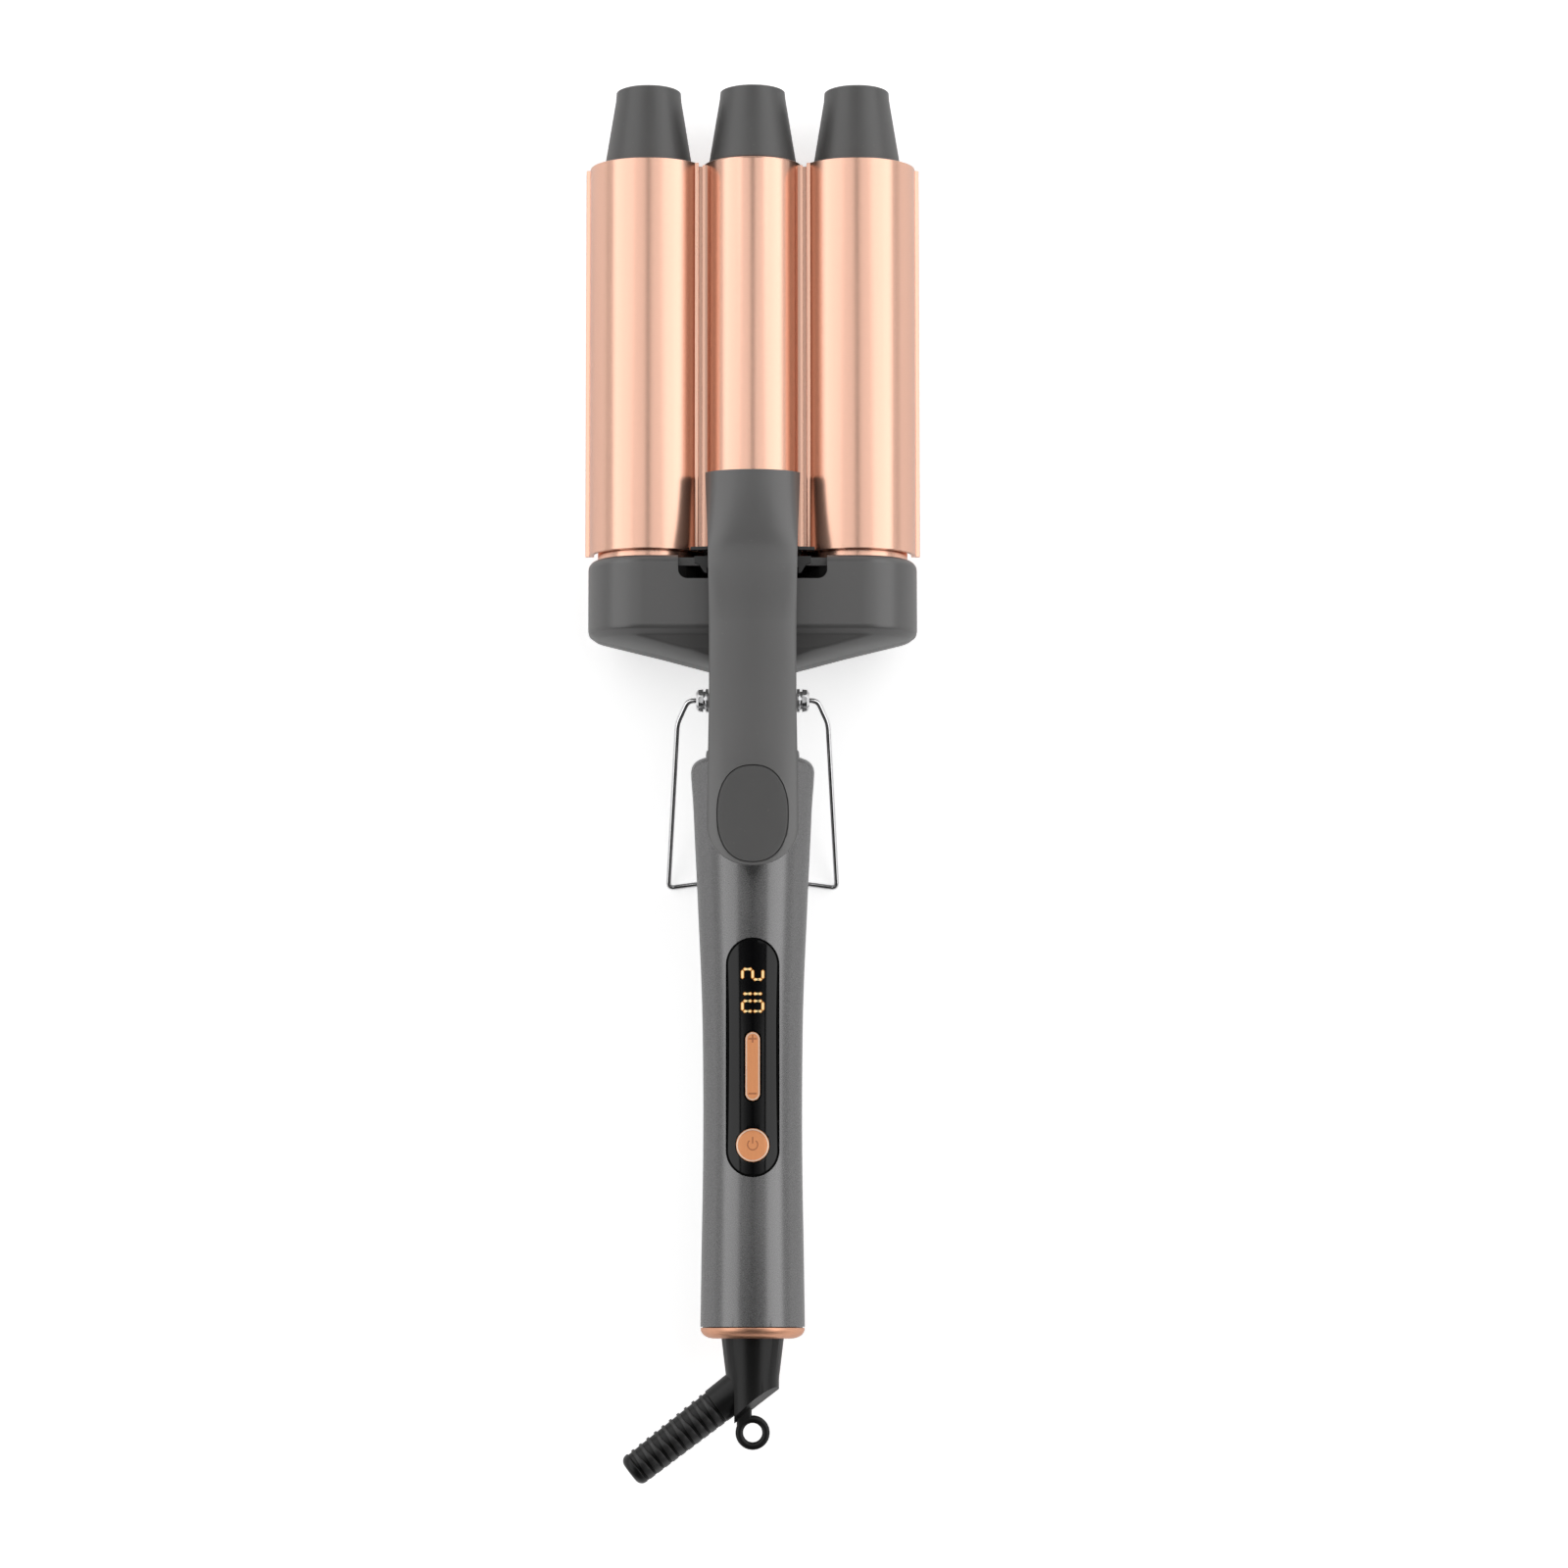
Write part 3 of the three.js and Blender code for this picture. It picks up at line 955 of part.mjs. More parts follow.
function electronics() {
  const holes = BOARD_SCREWS_Y.map((y) => rodZ(SCREW_RADIUS + GAP, [0, 9], 0, y, 12));
  const boardWidth = [-BOARD_HALF_WIDTH, BOARD_HALF_WIDTH];
  const board = box(boardWidth, [BOARD_REAR, BOARD_FRONT], [BOARD_BOTTOM, BOARD_TOP]);
  add('control_board', cut(board, ...holes), BOARD_GREEN);
  const foot = BOARD_TOP + GAP;
  const span = (centre, half) => [centre - half, centre + half];
  const module = box([-5.5, 5.5], span(DISPLAY_CENTRE, DISPLAY_HALF_LENGTH), [foot, foot + 4.6]);
  add('display_module', module, CERAMIC);
  const tactSwitch = (name, y) => {
    const base = box([-3, 3], span(y, 3), [foot, foot + SWITCH_HEIGHT]);
    const top = foot + SWITCH_HEIGHT + PLUNGER_HEIGHT;
    add(name, join(base, rodZ(1.6, [foot + 0.5, top], 0, y, 12)), BLACK_SOFT);
  };
  tactSwitch('power_switch', POWER_CENTRE);
  tactSwitch('plus_switch', ROCKER_CENTRE + ROCKER_FOOT);
  tactSwitch('minus_switch', ROCKER_CENTRE - ROCKER_FOOT);
  const under = BOARD_BOTTOM - GAP;
  add('heater_triac', box([-5, 5], span(POWER_CENTRE - 1.5, 4.5), [under - 4.5, under]), BLACK_SOFT);
  add('filter_capacitor', box([-6.5, 6.5], span(DISPLAY_CENTRE - 4, 9), [under - 7, under]), RED_LEAD);
}

function leads() {
  const underBoard = BOARD_BOTTOM - GAP;
  const socketFront = HANDLE_REAR + SOCKET_FRONT_REACH;
  [['left', -1, RED_LEAD], ['right', 1, BLUE_LEAD]].forEach(([side, sign, colour]) => {
    const x = sign * LEAD_X;
    const heaterLead = path([
      [sign * BARREL_PITCH, 2 - GAP, 0], [sign * BARREL_PITCH, -6, 0],
      [sign * (BARREL_PITCH - 5), -HEAD_LENGTH + 8.3, -1],
      [sign * (BARREL_PITCH - 12.15), -HEAD_LENGTH + 2.3, -4],
      [x + sign * 6, -HEAD_LENGTH - 2.2, -5], [x + sign * 0.5, TAPER_END + 3, -5], [x, PIVOT_Y + 3, -5],
      [x, HANDLE_FRONT - 6.9, -5], [x, BOARD_FRONT + 13, -5], [x, BOARD_FRONT, -4.6],
      [x, BOARD_FRONT - 6.5, -3], [x, BOARD_FRONT - 8.5, 0.5], [x, BOARD_FRONT - 8.5, underBoard],
    ]);
    add(`heater_lead_${side}`, wire(heaterLead, LEAD_RADIUS, 18, 6), colour);
    const mainsLead = path([
      [x, socketFront + GAP, 0], [x, socketFront + 5, 0], [x, socketFront + 14, 0],
      [x, BOARD_REAR + 3, 0], [x, BOARD_REAR + 5, 1.2], [x, BOARD_REAR + 5, underBoard],
    ]);
    add(`mains_lead_${side}`, wire(mainsLead, LEAD_RADIUS, 10, 6), colour);
  });
  const middleLeadY = [MIDDLE_HEATER_START - GAP, MIDDLE_HEATER_START - 6, 10, JAW_START + 1.8];
  const middleLead = path(middleLeadY.map((y) => [0, y, MIDDLE_RAISE]));
  add('heater_lead_middle', wire(middleLead, LEAD_RADIUS, 6, 6), RED_LEAD);
  const fuseRear = -HEAD_LENGTH + 2.3;
  const fuseZ = -HEAD_HALF_DEPTH + HEAD_WALL + FUSE_RADIUS + GAP;
  add('thermal_fuse', rodY(FUSE_RADIUS, [fuseRear, fuseRear + FUSE_LENGTH], 0, fuseZ, 14), STEEL);
}

// Swivelling cord relief

function swivelContacts() {
  const front = HANDLE_REAR + SOCKET_FRONT_REACH;
  const rear = front - SOCKET_LENGTH;
  const wall = HANDLE_END - HANDLE_WALL - 0.6;
  add('swivel_socket', turned([
    [2.1, front - 4], [2.1, rear], [wall - 0.4, rear], [wall - 0.4, front], [0, front], [0, front - 4],
  ], 0, 0, 20), BLACK_SOFT);
  add('swivel_contact', turned([
    [0, front - 4 - GAP], [1.8, front - 4 - GAP], [1.8, rear - 0.6],
    [5, rear - 0.6], [5, rear - 2.2], [0, rear - 2.2],
  ], 0, 0, 20), BRASS);
}

// The body's far end is cut flat on both faces of a shallow roof that runs along the tail.
function reliefSolid() {
  const flangeFront = HANDLE_REAR + 6 + GAP + 2.2;
  const coneFront = HANDLE_REAR - GAP - END_RING_LENGTH + RELIEF_RECESS;
  const shaft = RELIEF_BORE - GAP;
  const flange = HANDLE_END - HANDLE_WALL - 1.6;
  const round = turned([
    [0, flangeFront], [flange, flangeFront], [flange, flangeFront - 2.2], [shaft, flangeFront - 2.2],
    [shaft, coneFront], [RELIEF_CONE_FRONT, coneFront], [RELIEF_CONE_REAR, RELIEF_ELBOW_Y],
    [RELIEF_CONE_REAR - 0.2, LOOP_Y], [0, LOOP_Y],
  ], 0, 0, 22);
  const reach = Math.hypot(TAIL_REACH_X, TAIL_REACH_BACK);
  const lean = THREE.MathUtils.degToRad(RELIEF_MITRE_LEAN);
  const offCuts = [-1, 1].map((side) => {
    const across = new THREE.Vector3(TAIL_REACH_BACK / reach, TAIL_REACH_X / reach, 0);
    const normal = across.clone().multiplyScalar(Math.cos(lean)).setZ(side * Math.sin(lean));
    const turn = new THREE.Quaternion().setFromUnitVectors(new THREE.Vector3(0, 1, 0), normal);
    const corner = across.multiplyScalar(RELIEF_MITRE);
    return solid(new THREE.BoxGeometry(60, 30, 60).translate(0, 15, 0).applyQuaternion(turn)
      .translate(corner.x, RELIEF_ELBOW_Y + corner.y, 0));
  });
  const behindTail = box([-20, -5.8], [LOOP_Y - 5, RELIEF_ELBOW_Y - 4], [-20, 20]);
  return cut(round, ...offCuts, behindTail);
}

// The tail is made along +Y from the elbow, then turned to its own direction.
function tail() {
  const reach = Math.hypot(TAIL_REACH_X, TAIL_REACH_BACK);
  const degrees = THREE.MathUtils.radToDeg(Math.atan2(-TAIL_REACH_X, -TAIL_REACH_BACK));
  let body = turned([
    [0, -1], [TAIL_RADIUS, 0], [TAIL_RADIUS - 0.1, 8], [TAIL_END_RADIUS, reach - 2.2],
    [TAIL_END_RADIUS - 0.7, reach - 0.7], [TAIL_END_RADIUS - 2.2, reach], [0, reach],
  ], 0, 0, 12);
  const spine = box([-20, -TAIL_END_RADIUS + 2.6], [-5, reach + 5], [-20, 20]);
  for (let i = 0; i < TAIL_RIBS; i += 1) {
    const y = reach - 3.5 - i * RIB_PITCH;
    const root = [TAIL_RADIUS - 1.9, y];
    const groove = turned([root, [TAIL_RADIUS + 2, y - 1.2], [TAIL_RADIUS + 2, y + 1.2]], 0, 0, 12);
    body = body.subtract(groove.subtract(spine));
  }
  body = body.subtract(rodY(2.6, [reach - 12, reach + 2], 0, 0, 12));
  return body.rotate([0, 0, degrees]).translate([0, RELIEF_ELBOW_Y, 0]);
}

function cordRelief() {
  const thickness = [-LOOP_HALF_THICKNESS, LOOP_HALF_THICKNESS];
  const ring = rodZ(LOOP_OUTER, thickness, 0, LOOP_Y, 22);
  const web = box([-LOOP_OUTER + 0.4, -0.3], [LOOP_Y, RELIEF_ELBOW_Y], thickness);
  const eye = rodZ(LOOP_INNER, [-9, 9], 0, LOOP_Y, 16);
  add('strain_relief', cut(join(reliefSolid(), tail(), ring, web), eye), BLACK_SOFT);
}

housings();
fixedBarrels();
valleyPlate();
wings();
middleBarrel();
jawBracket();
lever();
hingePin();
torsionSpring();
stand();
handleShells();
endRing();
displayPanel();
controls();
electronics();
leads();
swivelContacts();
cordRelief();

const headBackMiddle = -(HEAD_FILLET + HEAD_LENGTH) / 2;
WHOLE.position.set(0, -headBackMiddle, HEAD_HALF_DEPTH);
WHOLE.updateMatrixWorld(true);

export default WHOLE;
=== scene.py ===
import math

import bmesh
import bpy
import numpy as np
from mathutils import Euler, Matrix, Vector


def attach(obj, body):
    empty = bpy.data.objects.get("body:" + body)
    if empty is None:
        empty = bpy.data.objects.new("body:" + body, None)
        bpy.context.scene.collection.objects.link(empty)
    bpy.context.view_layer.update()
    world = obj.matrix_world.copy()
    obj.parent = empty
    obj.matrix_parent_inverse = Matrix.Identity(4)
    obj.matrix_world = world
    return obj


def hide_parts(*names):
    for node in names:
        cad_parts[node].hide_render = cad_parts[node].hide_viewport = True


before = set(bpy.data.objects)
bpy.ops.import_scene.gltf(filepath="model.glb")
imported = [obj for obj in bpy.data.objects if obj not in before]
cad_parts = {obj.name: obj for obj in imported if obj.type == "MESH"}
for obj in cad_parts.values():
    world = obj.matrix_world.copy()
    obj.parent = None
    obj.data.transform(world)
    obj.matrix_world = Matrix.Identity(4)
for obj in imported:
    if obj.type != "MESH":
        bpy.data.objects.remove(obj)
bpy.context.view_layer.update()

# Sizes are in millimetres, laid out about the handle's axis with y = 0 on the head's front face.
# Every mesh is moved into the part's own frame, in metres, when it is finished.
MM = 0.001
WORKING_ORIGIN = Vector((0, 13.15, 21))

GAP = 0.3
SPLIT = 0.3

BARREL_RADIUS = 16
BARREL_WALL = 1.5
BARREL_PITCH = 33.6
BARREL_LENGTH = 128.5
BARREL_ROOT = 10
BARREL_LIP = 3.7
MIDDLE_RAISE = 4.2
TIP_STEP = 2
TIP_TAPER = 3.4
TIP_LENGTH = 26.2
MIDDLE_TIP_LENGTH = 25.2
TIP_PLUG = 8
TIP_WALL = 2
TIP_FLATNESS = 4.4
MIDDLE_TIP_FLATNESS = 3.6

JAW_SHEET = 1.5
JAW_GAP = 1.25
JAW_START = 2.2
WING_LIP = 1.3
WING_LIP_DROP = 1.96
VALLEY_HEIGHT = 11
VALLEY_GROOVE = 1.2
VALLEY_GAP = 1.3
VALLEY_PLATE_TOP = -7.0
VALLEY_PLATE_BOTTOM = -8.5
VALLEY_DIP = 0.1
FIN_DIP = 0.2
VALLEY_MIDDLE = 16.8
# Painted shade in the valleys between the barrels: how light it leaves the colour, and the bands from each
# valley's middle where it fades out, towards the shelf and up the flanks.
VALLEY_SHADE = 0.66
SHELF_BAND = (1.2, 2.0)
FLANK_BAND = (2.4, 7.5)
SHELF_WIDTH = 1.15
SHELF_THICKNESS = 1
RAIL_DEPTH = 2.3
BRACKET_THICKNESS = 1.0
BRACKET_ARM = 4.9
BRACKET_FOOT = 13.1
BRACKET_ARM_DEPTH = 1.6
TAB_FRONT = -1
TAB_REACH = 4
TAB_LENGTH = 5.4

HEAD_LENGTH = 23.3
HEAD_CORNER = 18
HEAD_FILLET = 3
NOTCH_HALF_WIDTH = 23.6
NOTCH_REACH = 7.8
NOTCH_FLOOR = 13
NOTCH_CORNER = 3
HEAD_WALL = 2.4
TAPER_LENGTH = 11.9
NECK_HALF_WIDTH = 11
NECK_HALF_HEIGHT = 14
NECK_CORNER = 5
NECK_WALL = 2.2
COLLAR_RADIUS = 15
SPIGOT_RADIUS = 12
SPIGOT_LENGTH = 9
SPIGOT_WALL = 2.5

HANDLE_LENGTH = 180
HANDLE_WALL = 2.2
HANDLE_FRONT_WALL = 2.5
HANDLE_SHOULDER = 19.7
HANDLE_NOSE_ROUND = 4.5
HANDLE_NOSE_DEPTH = 3.9
HANDLE_WAIST = 15.75
HANDLE_END = 16.5
END_RING_LENGTH = 3.4
END_RING_FALL = 4.4
END_SPIGOT = 6

PIVOT_Y = -45
PIVOT_Z = 6
PIN_RADIUS = 2.4
LEVER_HALF_WIDTH = 13.75
LEVER_WALL = 2.3
LEVER_FRONT = 26.8
LEVER_REAR = -100.8
LEVER_ROUND = 13
CROWN_ROUNDNESS = 0.96
NUT_RADIUS = 3.45
NUT_LENGTH = 3.9
SPRING_WIRE = 0.6
SPRING_RADIUS = 4.1
SPRING_TURNS = 5
SPRING_PITCH = 1.7
SPRING_LEG = 16.4
SPRING_UPPER_LEG = 19.8
PAD_HALF_WIDTH = 11.1
PAD_FRONT = -68.6
PAD_REAR = -99.8
PAD_THICKNESS = 1.1
PAD_SEAM = 0.16
PAD_SQUARENESS = 0.86
PAD_STEP = 0.12
PAD_DISH = 0.55
STAND_WIRE = 0.8
STAND_ELBOW_X = 20.6
STAND_CORNER_X = 27.1
STAND_REACH = 57.6

PANEL_CENTRE = -158.9
PANEL_HALF_LENGTH = 37.3
PANEL_HALF_WIDTH = 8.15
PANEL_PROUD = 0.2
PANEL_EDGE = 0.42
PANEL_DEPTH = 3.65
ROCKER_CENTRE = -161.8
ROCKER_HALF_LENGTH = 10.75
ROCKER_HALF_WIDTH = 2.3
ROCKER_CLEARANCE = 0.5
ROCKER_PIVOT_Z = 10.2
ROCKER_FOOT = 7
POWER_CENTRE = -186.5
POWER_RADIUS = 5.2
POWER_FLANGE = 1.1
POWER_STEM_RADIUS = 1.5
POWER_RIM = 0.55
POWER_DISH_FLOOR = 15.7
ROCKER_FOOT_RADIUS = 1.4
ROCKER_PIVOT_RADIUS = 0.9
ROCKER_PIVOT_REACH = 1.9
BUTTON_FLANGE_TOP = 10.0
BUTTON_BOTTOM = 8.8
KEY_PROUD = 0.2
RIM_INSET = 0.32
RIM_WIDTH = 0.42
RIM_LIFT = 0.23
SIGN_DEPTH = 0.15
SIGN_LIFT = 0.22
SIGN_STROKE = 0.5
PLUS_HALF_WIDTH = 1.3
PLUS_HALF_LENGTH = 1.2
POWER_SIGN_RADIUS = 1.6
POWER_SIGN_STROKE = 0.38
POWER_SIGN_LIFT = 0.02

RELIEF_BORE = 8.8
RELIEF_RECESS = 1
RELIEF_FLANGE = 2.2
RELIEF_CONE_FRONT = 9.95
RELIEF_CONE_REAR = 8.35
RELIEF_ELBOW_Y = -259.1
RELIEF_MITRE = 7.8
RELIEF_MITRE_LEAN = 15
TAIL_RADIUS = 6.1
TAIL_END_RADIUS = 5.3
TAIL_REACH = (-38.6, -288.9)
TAIL_SMOOTH = 15.05
TAIL_RIBS = 10
RIB_PITCH = 3.02
RIB_GAP = 0.95
GROOVE_EDGE = 0.32
CORE_SHIFT = 0.14
GROOVE_DEPTH = 1.5
LOOP_Y = -276.2
LOOP_OUTER = 5.4
LOOP_INNER = 3
LOOP_HALF_THICKNESS = 2.5

SCREW_RADIUS = 1.4
SCREW_HEAD_RADIUS = 2.9
SCREW_HEAD_LENGTH = 2.0
SCREW_RECESS = (2.6, 0.55, 1.6)
SCREW_SLACK = 0.1
HEAD_SCREW_X = 9
HEAD_SCREW_Y = -14
HEAD_SCREW_SEAT = 5
HEAD_SCREW_LENGTH = 22.0
HANDLE_SCREWS_Y = (-84, -214)
HANDLE_SCREW_SEAT = 5.5
HANDLE_SCREW_LENGTH = 16.0
BOARD_SCREWS_Y = (-116.4, -201.6)
BOARD_SCREW_LENGTH = 5.5
BOARD_BOTTOM = 4
UPPER_BOSS_RADIUS = 3.4
LOWER_BOSS_RADIUS = 4.2
HANDLE_BOSS_RADIUS = 4

BARREL_BORE = BARREL_RADIUS - BARREL_WALL
BARREL_MOUTH = BARREL_RADIUS - BARREL_LIP
MIDDLE_TOP = MIDDLE_RAISE + BARREL_RADIUS
WING_INNER = BARREL_RADIUS + JAW_GAP
WING_OUTER = WING_INNER + JAW_SHEET
JAW_END = BARREL_LENGTH - 0.2
HEAD_HALF_WIDTH = BARREL_PITCH + BARREL_RADIUS + 2.9
HEAD_HALF_DEPTH = BARREL_RADIUS + 5
TAPER_END = -HEAD_LENGTH - TAPER_LENGTH
NECK_END = -60.8
COLLAR_REAR = NECK_END - 2
HANDLE_FRONT = COLLAR_REAR - GAP
HANDLE_REAR = HANDLE_FRONT - HANDLE_LENGTH
PLATE_BOTTOM = HEAD_HALF_DEPTH + 0.35
PLATE_TOP = PLATE_BOTTOM + 1.25
PLATE_REAR = JAW_START - 6.8
HINGE_HOLE = PIN_RADIUS + GAP
NUT_INNER = LEVER_HALF_WIDTH + GAP
NUT_OUTER = NUT_INNER + NUT_LENGTH
SADDLE_SCREWS_Y = (LEVER_FRONT - 16, LEVER_FRONT - 7)
WING_SHELF = BARREL_PITCH - math.sqrt(WING_OUTER ** 2 - VALLEY_HEIGHT ** 2) - SHELF_WIDTH
TAIL_LINE = Vector((TAIL_REACH[0], TAIL_REACH[1] - RELIEF_ELBOW_Y, 0))
PIVOT = {"y": PIVOT_Y, "z": PIVOT_Z}
SIDES = (("left", -1), ("right", 1))
FAR = HEAD_HALF_WIDTH * 2


# Nodes, for the world, the finishes and the shapes that trees make

WHITE = (1, 1, 1, 1)
SOCKET_KINDS = {tuple: "Color", float: "Float", int: "Int"}
SURFACE = {"Colour": "Color", "Roughness": "Float", "Height": "Float"}


class Wiring:
    """Short calls for adding nodes to one tree and joining them."""

    def __init__(self, tree):
        self.tree = tree

    def set(self, socket, value):
        """Gives the socket a plain value, or joins to it an output, a node's first output or a list of these."""
        for source in value if isinstance(value, list) else [value]:
            if isinstance(source, bpy.types.Node):
                source = source.outputs[0]
            if isinstance(source, bpy.types.NodeSocket):
                self.tree.links.new(source, socket)
            else:
                socket.default_value = source

    def fill(self, node, inputs):
        for label, value in inputs.items():
            self.set(node.inputs[label], value)
        return node

    def add(self, kind, inputs=None, **settings):
        node = self.tree.nodes.new(kind)
        for label, value in settings.items():
            setattr(node, label, value)
        return self.fill(node, inputs or {})

    def place(self, stretch):
        spot = self.add("ShaderNodeTexCoord").outputs["Object"]
        return self.add("ShaderNodeMapping", {"Vector": spot, "Scale": stretch})

    def noise(self, stretch, scale=1.0, detail=2.0, rough=0.5):
        return self.add("ShaderNodeTexNoise", {
            "Vector": self.place(stretch), "Scale": scale, "Detail": detail, "Roughness": rough,
        })

    def cells(self, stretch):
        node = self.add("ShaderNodeTexVoronoi", {"Vector": self.place(stretch), "Scale": 1.0})
        return self.add("ShaderNodeSeparateColor", {"Color": node.outputs["Color"]})

    def math(self, operation, *values, clamp=False):
        return self.add("ShaderNodeMath", dict(enumerate(values)), operation=operation, use_clamp=clamp)

    def around(self, value, amount):
        """1 + (value - 0.5) * amount"""
        return self.math("ADD", self.math("MULTIPLY", self.math("SUBTRACT", value, 0.5), amount), 1.0)

    def blend(self, first, second, share):
        """first * share + second * (1 - share)"""
        return self.math("ADD", self.math("MULTIPLY", first, share), self.math("MULTIPLY", second, 1 - share))

    def range(self, value, low, high, to_low=0.0, to_high=1.0, shape="SMOOTHSTEP"):
        ends = dict(enumerate((value, low, high, to_low, to_high)))
        return self.add("ShaderNodeMapRange", ends, interpolation_type=shape)

    def mix(self, amount, first, second):
        return self.add("ShaderNodeMix", {0: amount, 6: first, 7: second}, data_type="RGBA").outputs[2]

    def shade(self, colour, factor):
        return self.add("ShaderNodeHueSaturation", {"Color": colour, "Value": factor})

    def split(self, vector):
        return self.add("ShaderNodeSeparateXYZ", {0: vector}).outputs

    def vector(self, **parts):
        return self.add("ShaderNodeCombineXYZ", parts)


def group(name, inputs, outputs, kind="ShaderNodeTree"):
    """A tree to share; each input is given by its usual value, or by the name of its kind."""
    tree = bpy.data.node_groups.new(name, kind)
    for label, value in inputs.items():
        named = isinstance(value, str)
        socket_type = "NodeSocket" + (value if named else SOCKET_KINDS[type(value)])
        socket = tree.interface.new_socket(name=label, in_out="INPUT", socket_type=socket_type)
        if not named:
            socket.default_value = value
    for label, value in outputs.items():
        tree.interface.new_socket(name=label, in_out="OUTPUT", socket_type="NodeSocket" + value)
    return Wiring(tree), tree.nodes.new("NodeGroupInput").outputs, tree.nodes.new("NodeGroupOutput")


def new_material(name):
    material = bpy.data.materials.new(name)
    material.use_nodes = True
    return material, Wiring(material.node_tree), material.node_tree.nodes["Principled BSDF"]


# Camera, floor and light, in metres

CAMERA_AIM = Vector((0, -0.05785, 0.021))
CAMERA_TILT = math.radians(6.04)
CAMERA_DISTANCE = 1.64
LAMP_AIM = Vector((0, -0.06, 0))
FLOOR_HALF_SIDE = 4
FLOOR_DROP = 0.0003


def in_scene(name, data):
    obj = bpy.data.objects.new(name, data)
    bpy.context.scene.collection.objects.link(obj)
    return obj


def photographer():
    camera = bpy.data.cameras.new("camera")
    camera.lens = 118.1
    camera.sensor_width = 36
    camera.shift_x = 0.02
    camera.clip_end = 20
    holder = in_scene("camera", camera)
    away = Vector((0, -math.sin(CAMERA_TILT), math.cos(CAMERA_TILT)))
    holder.location = CAMERA_AIM + away * CAMERA_DISTANCE
    holder.rotation_euler = (CAMERA_TILT, 0, 0)
    bpy.context.scene.camera = holder


def softbox(name, sideways, forward, distance, across, along, brightness, twist=0):
    """A flat panel that faces the object's middle, leaning from straight above it by these degrees."""
    lamp = bpy.data.lights.new(name, "AREA")
    lamp.shape = "RECTANGLE"
    lamp.size = across
    lamp.size_y = along
    lamp.energy = brightness * math.pi * across * along
    holder = in_scene(name, lamp)
    turn = Euler((-math.radians(forward), math.radians(sideways), math.radians(twist)))
    holder.rotation_euler = turn
    holder.location = turn.to_matrix() @ Vector((0, 0, distance)) + LAMP_AIM


def studio():
    """A white backdrop for the camera, a room that is brightest at its sides, and four softboxes."""
    scene = bpy.context.scene
    scene.view_settings.view_transform = "Standard"
    scene.world = bpy.data.worlds.new("studio")
    scene.world.use_nodes = True
    w = Wiring(scene.world.node_tree)
    height = w.split(w.add("ShaderNodeTexCoord").outputs["Generated"])
    glow = w.range(height["Z"], 0.1, 0.75, 0.6, 0.03)
    rear = w.range(height["Y"], -0.9, -0.2, 0.3, 1, shape="LINEAR")
    room = w.fill(w.tree.nodes["Background"], {"Color": WHITE, "Strength": w.math("MULTIPLY", glow, rear)})
    seen = w.add("ShaderNodeBackground", {"Color": WHITE})
    camera_ray = w.add("ShaderNodeLightPath").outputs["Is Camera Ray"]
    shown = w.add("ShaderNodeMixShader", {0: camera_ray, 1: room, 2: seen})
    w.fill(w.tree.nodes["World Output"], {"Surface": shown})
    for side in (-1, 1):
        softbox("side_softbox", side * 50, 12, distance=1.7, across=1.26, along=3.8, brightness=1.3 + 0.08 * side)
        softbox("front_softbox", side * 14.4, 18.9, distance=1.9, across=0.84, along=1.2, brightness=0.95,
                twist=-6 * side)
    half = FLOOR_HALF_SIDE
    mesh = bpy.data.meshes.new("floor")
    mesh.from_pydata([(-half, -half, 0), (half, -half, 0), (half, half, 0), (-half, half, 0)], [], [(0, 1, 2, 3)])
    floor = in_scene("floor", mesh)
    floor.location.z = -FLOOR_DROP
    floor.data.materials.append(floor_paper())


def floor_paper():
    material, w, paper = new_material("floor_paper")
    camera_ray = w.add("ShaderNodeLightPath").outputs["Is Camera Ray"]
    w.fill(paper, {
        "Base Color": (0.86, 0.86, 0.86, 1), "Roughness": 0.9, "Specular IOR Level": 0.1, "Emission Color": WHITE,
        "Emission Strength": w.math("MULTIPLY_ADD", camera_ray, 0.42, 0.2),
    })
    return material


# Shader groups shared by the finishes

def brushed_group():
    """Long fine streaks along y, with slightly uneven polish."""
    w, given, result = group("brushed_surface", {
        "Colour": (0.8, 0.8, 0.8, 1), "Roughness": 0.3, "Streaks": 0.1, "Fineness": 1.0,
    }, SURFACE)
    fine = w.noise((1800, 14, 1800), given["Fineness"], 3, 0.6)
    broad = w.noise((160, 5, 160), given["Fineness"])
    streak = w.blend(fine, broad, 0.7)
    uneven = w.blend(streak, w.noise((22, 16, 22), 1.0, 3, 0.6), 0.5)
    w.fill(result, {
        "Colour": w.shade(given["Colour"], w.around(streak, given["Streaks"])),
        "Roughness": w.math("MULTIPLY", given["Roughness"], w.around(uneven, 0.5)),
        "Height": streak,
    })
    return w.tree


def moulded_group():
    """Fine spark-eroded grain, faint cloudiness of the colour and a little dust on it."""
    w, given, result = group("moulded_surface", {
        "Colour": (0.2, 0.2, 0.2, 1), "Roughness": 0.5, "Grain": 1.0, "Cloud": 0.12, "Dust": 0.03,
    }, SURFACE)
    cloud = w.noise((75, 30, 75), 1.0, 4, 0.6)
    specks = w.range(w.noise((950, 950, 950), 1.0, 1), 0.7, 0.8)
    lit = w.shade(given["Colour"], w.around(cloud, given["Cloud"]))
    w.fill(result, {
        "Colour": w.mix(w.math("MULTIPLY", specks, given["Dust"]), lit, (0.55, 0.54, 0.52, 1)),
        "Roughness": w.math("MULTIPLY", given["Roughness"], w.around(cloud, 0.25)),
        "Height": w.noise((4200, 4200, 4200), given["Grain"]),
    })
    return w.tree


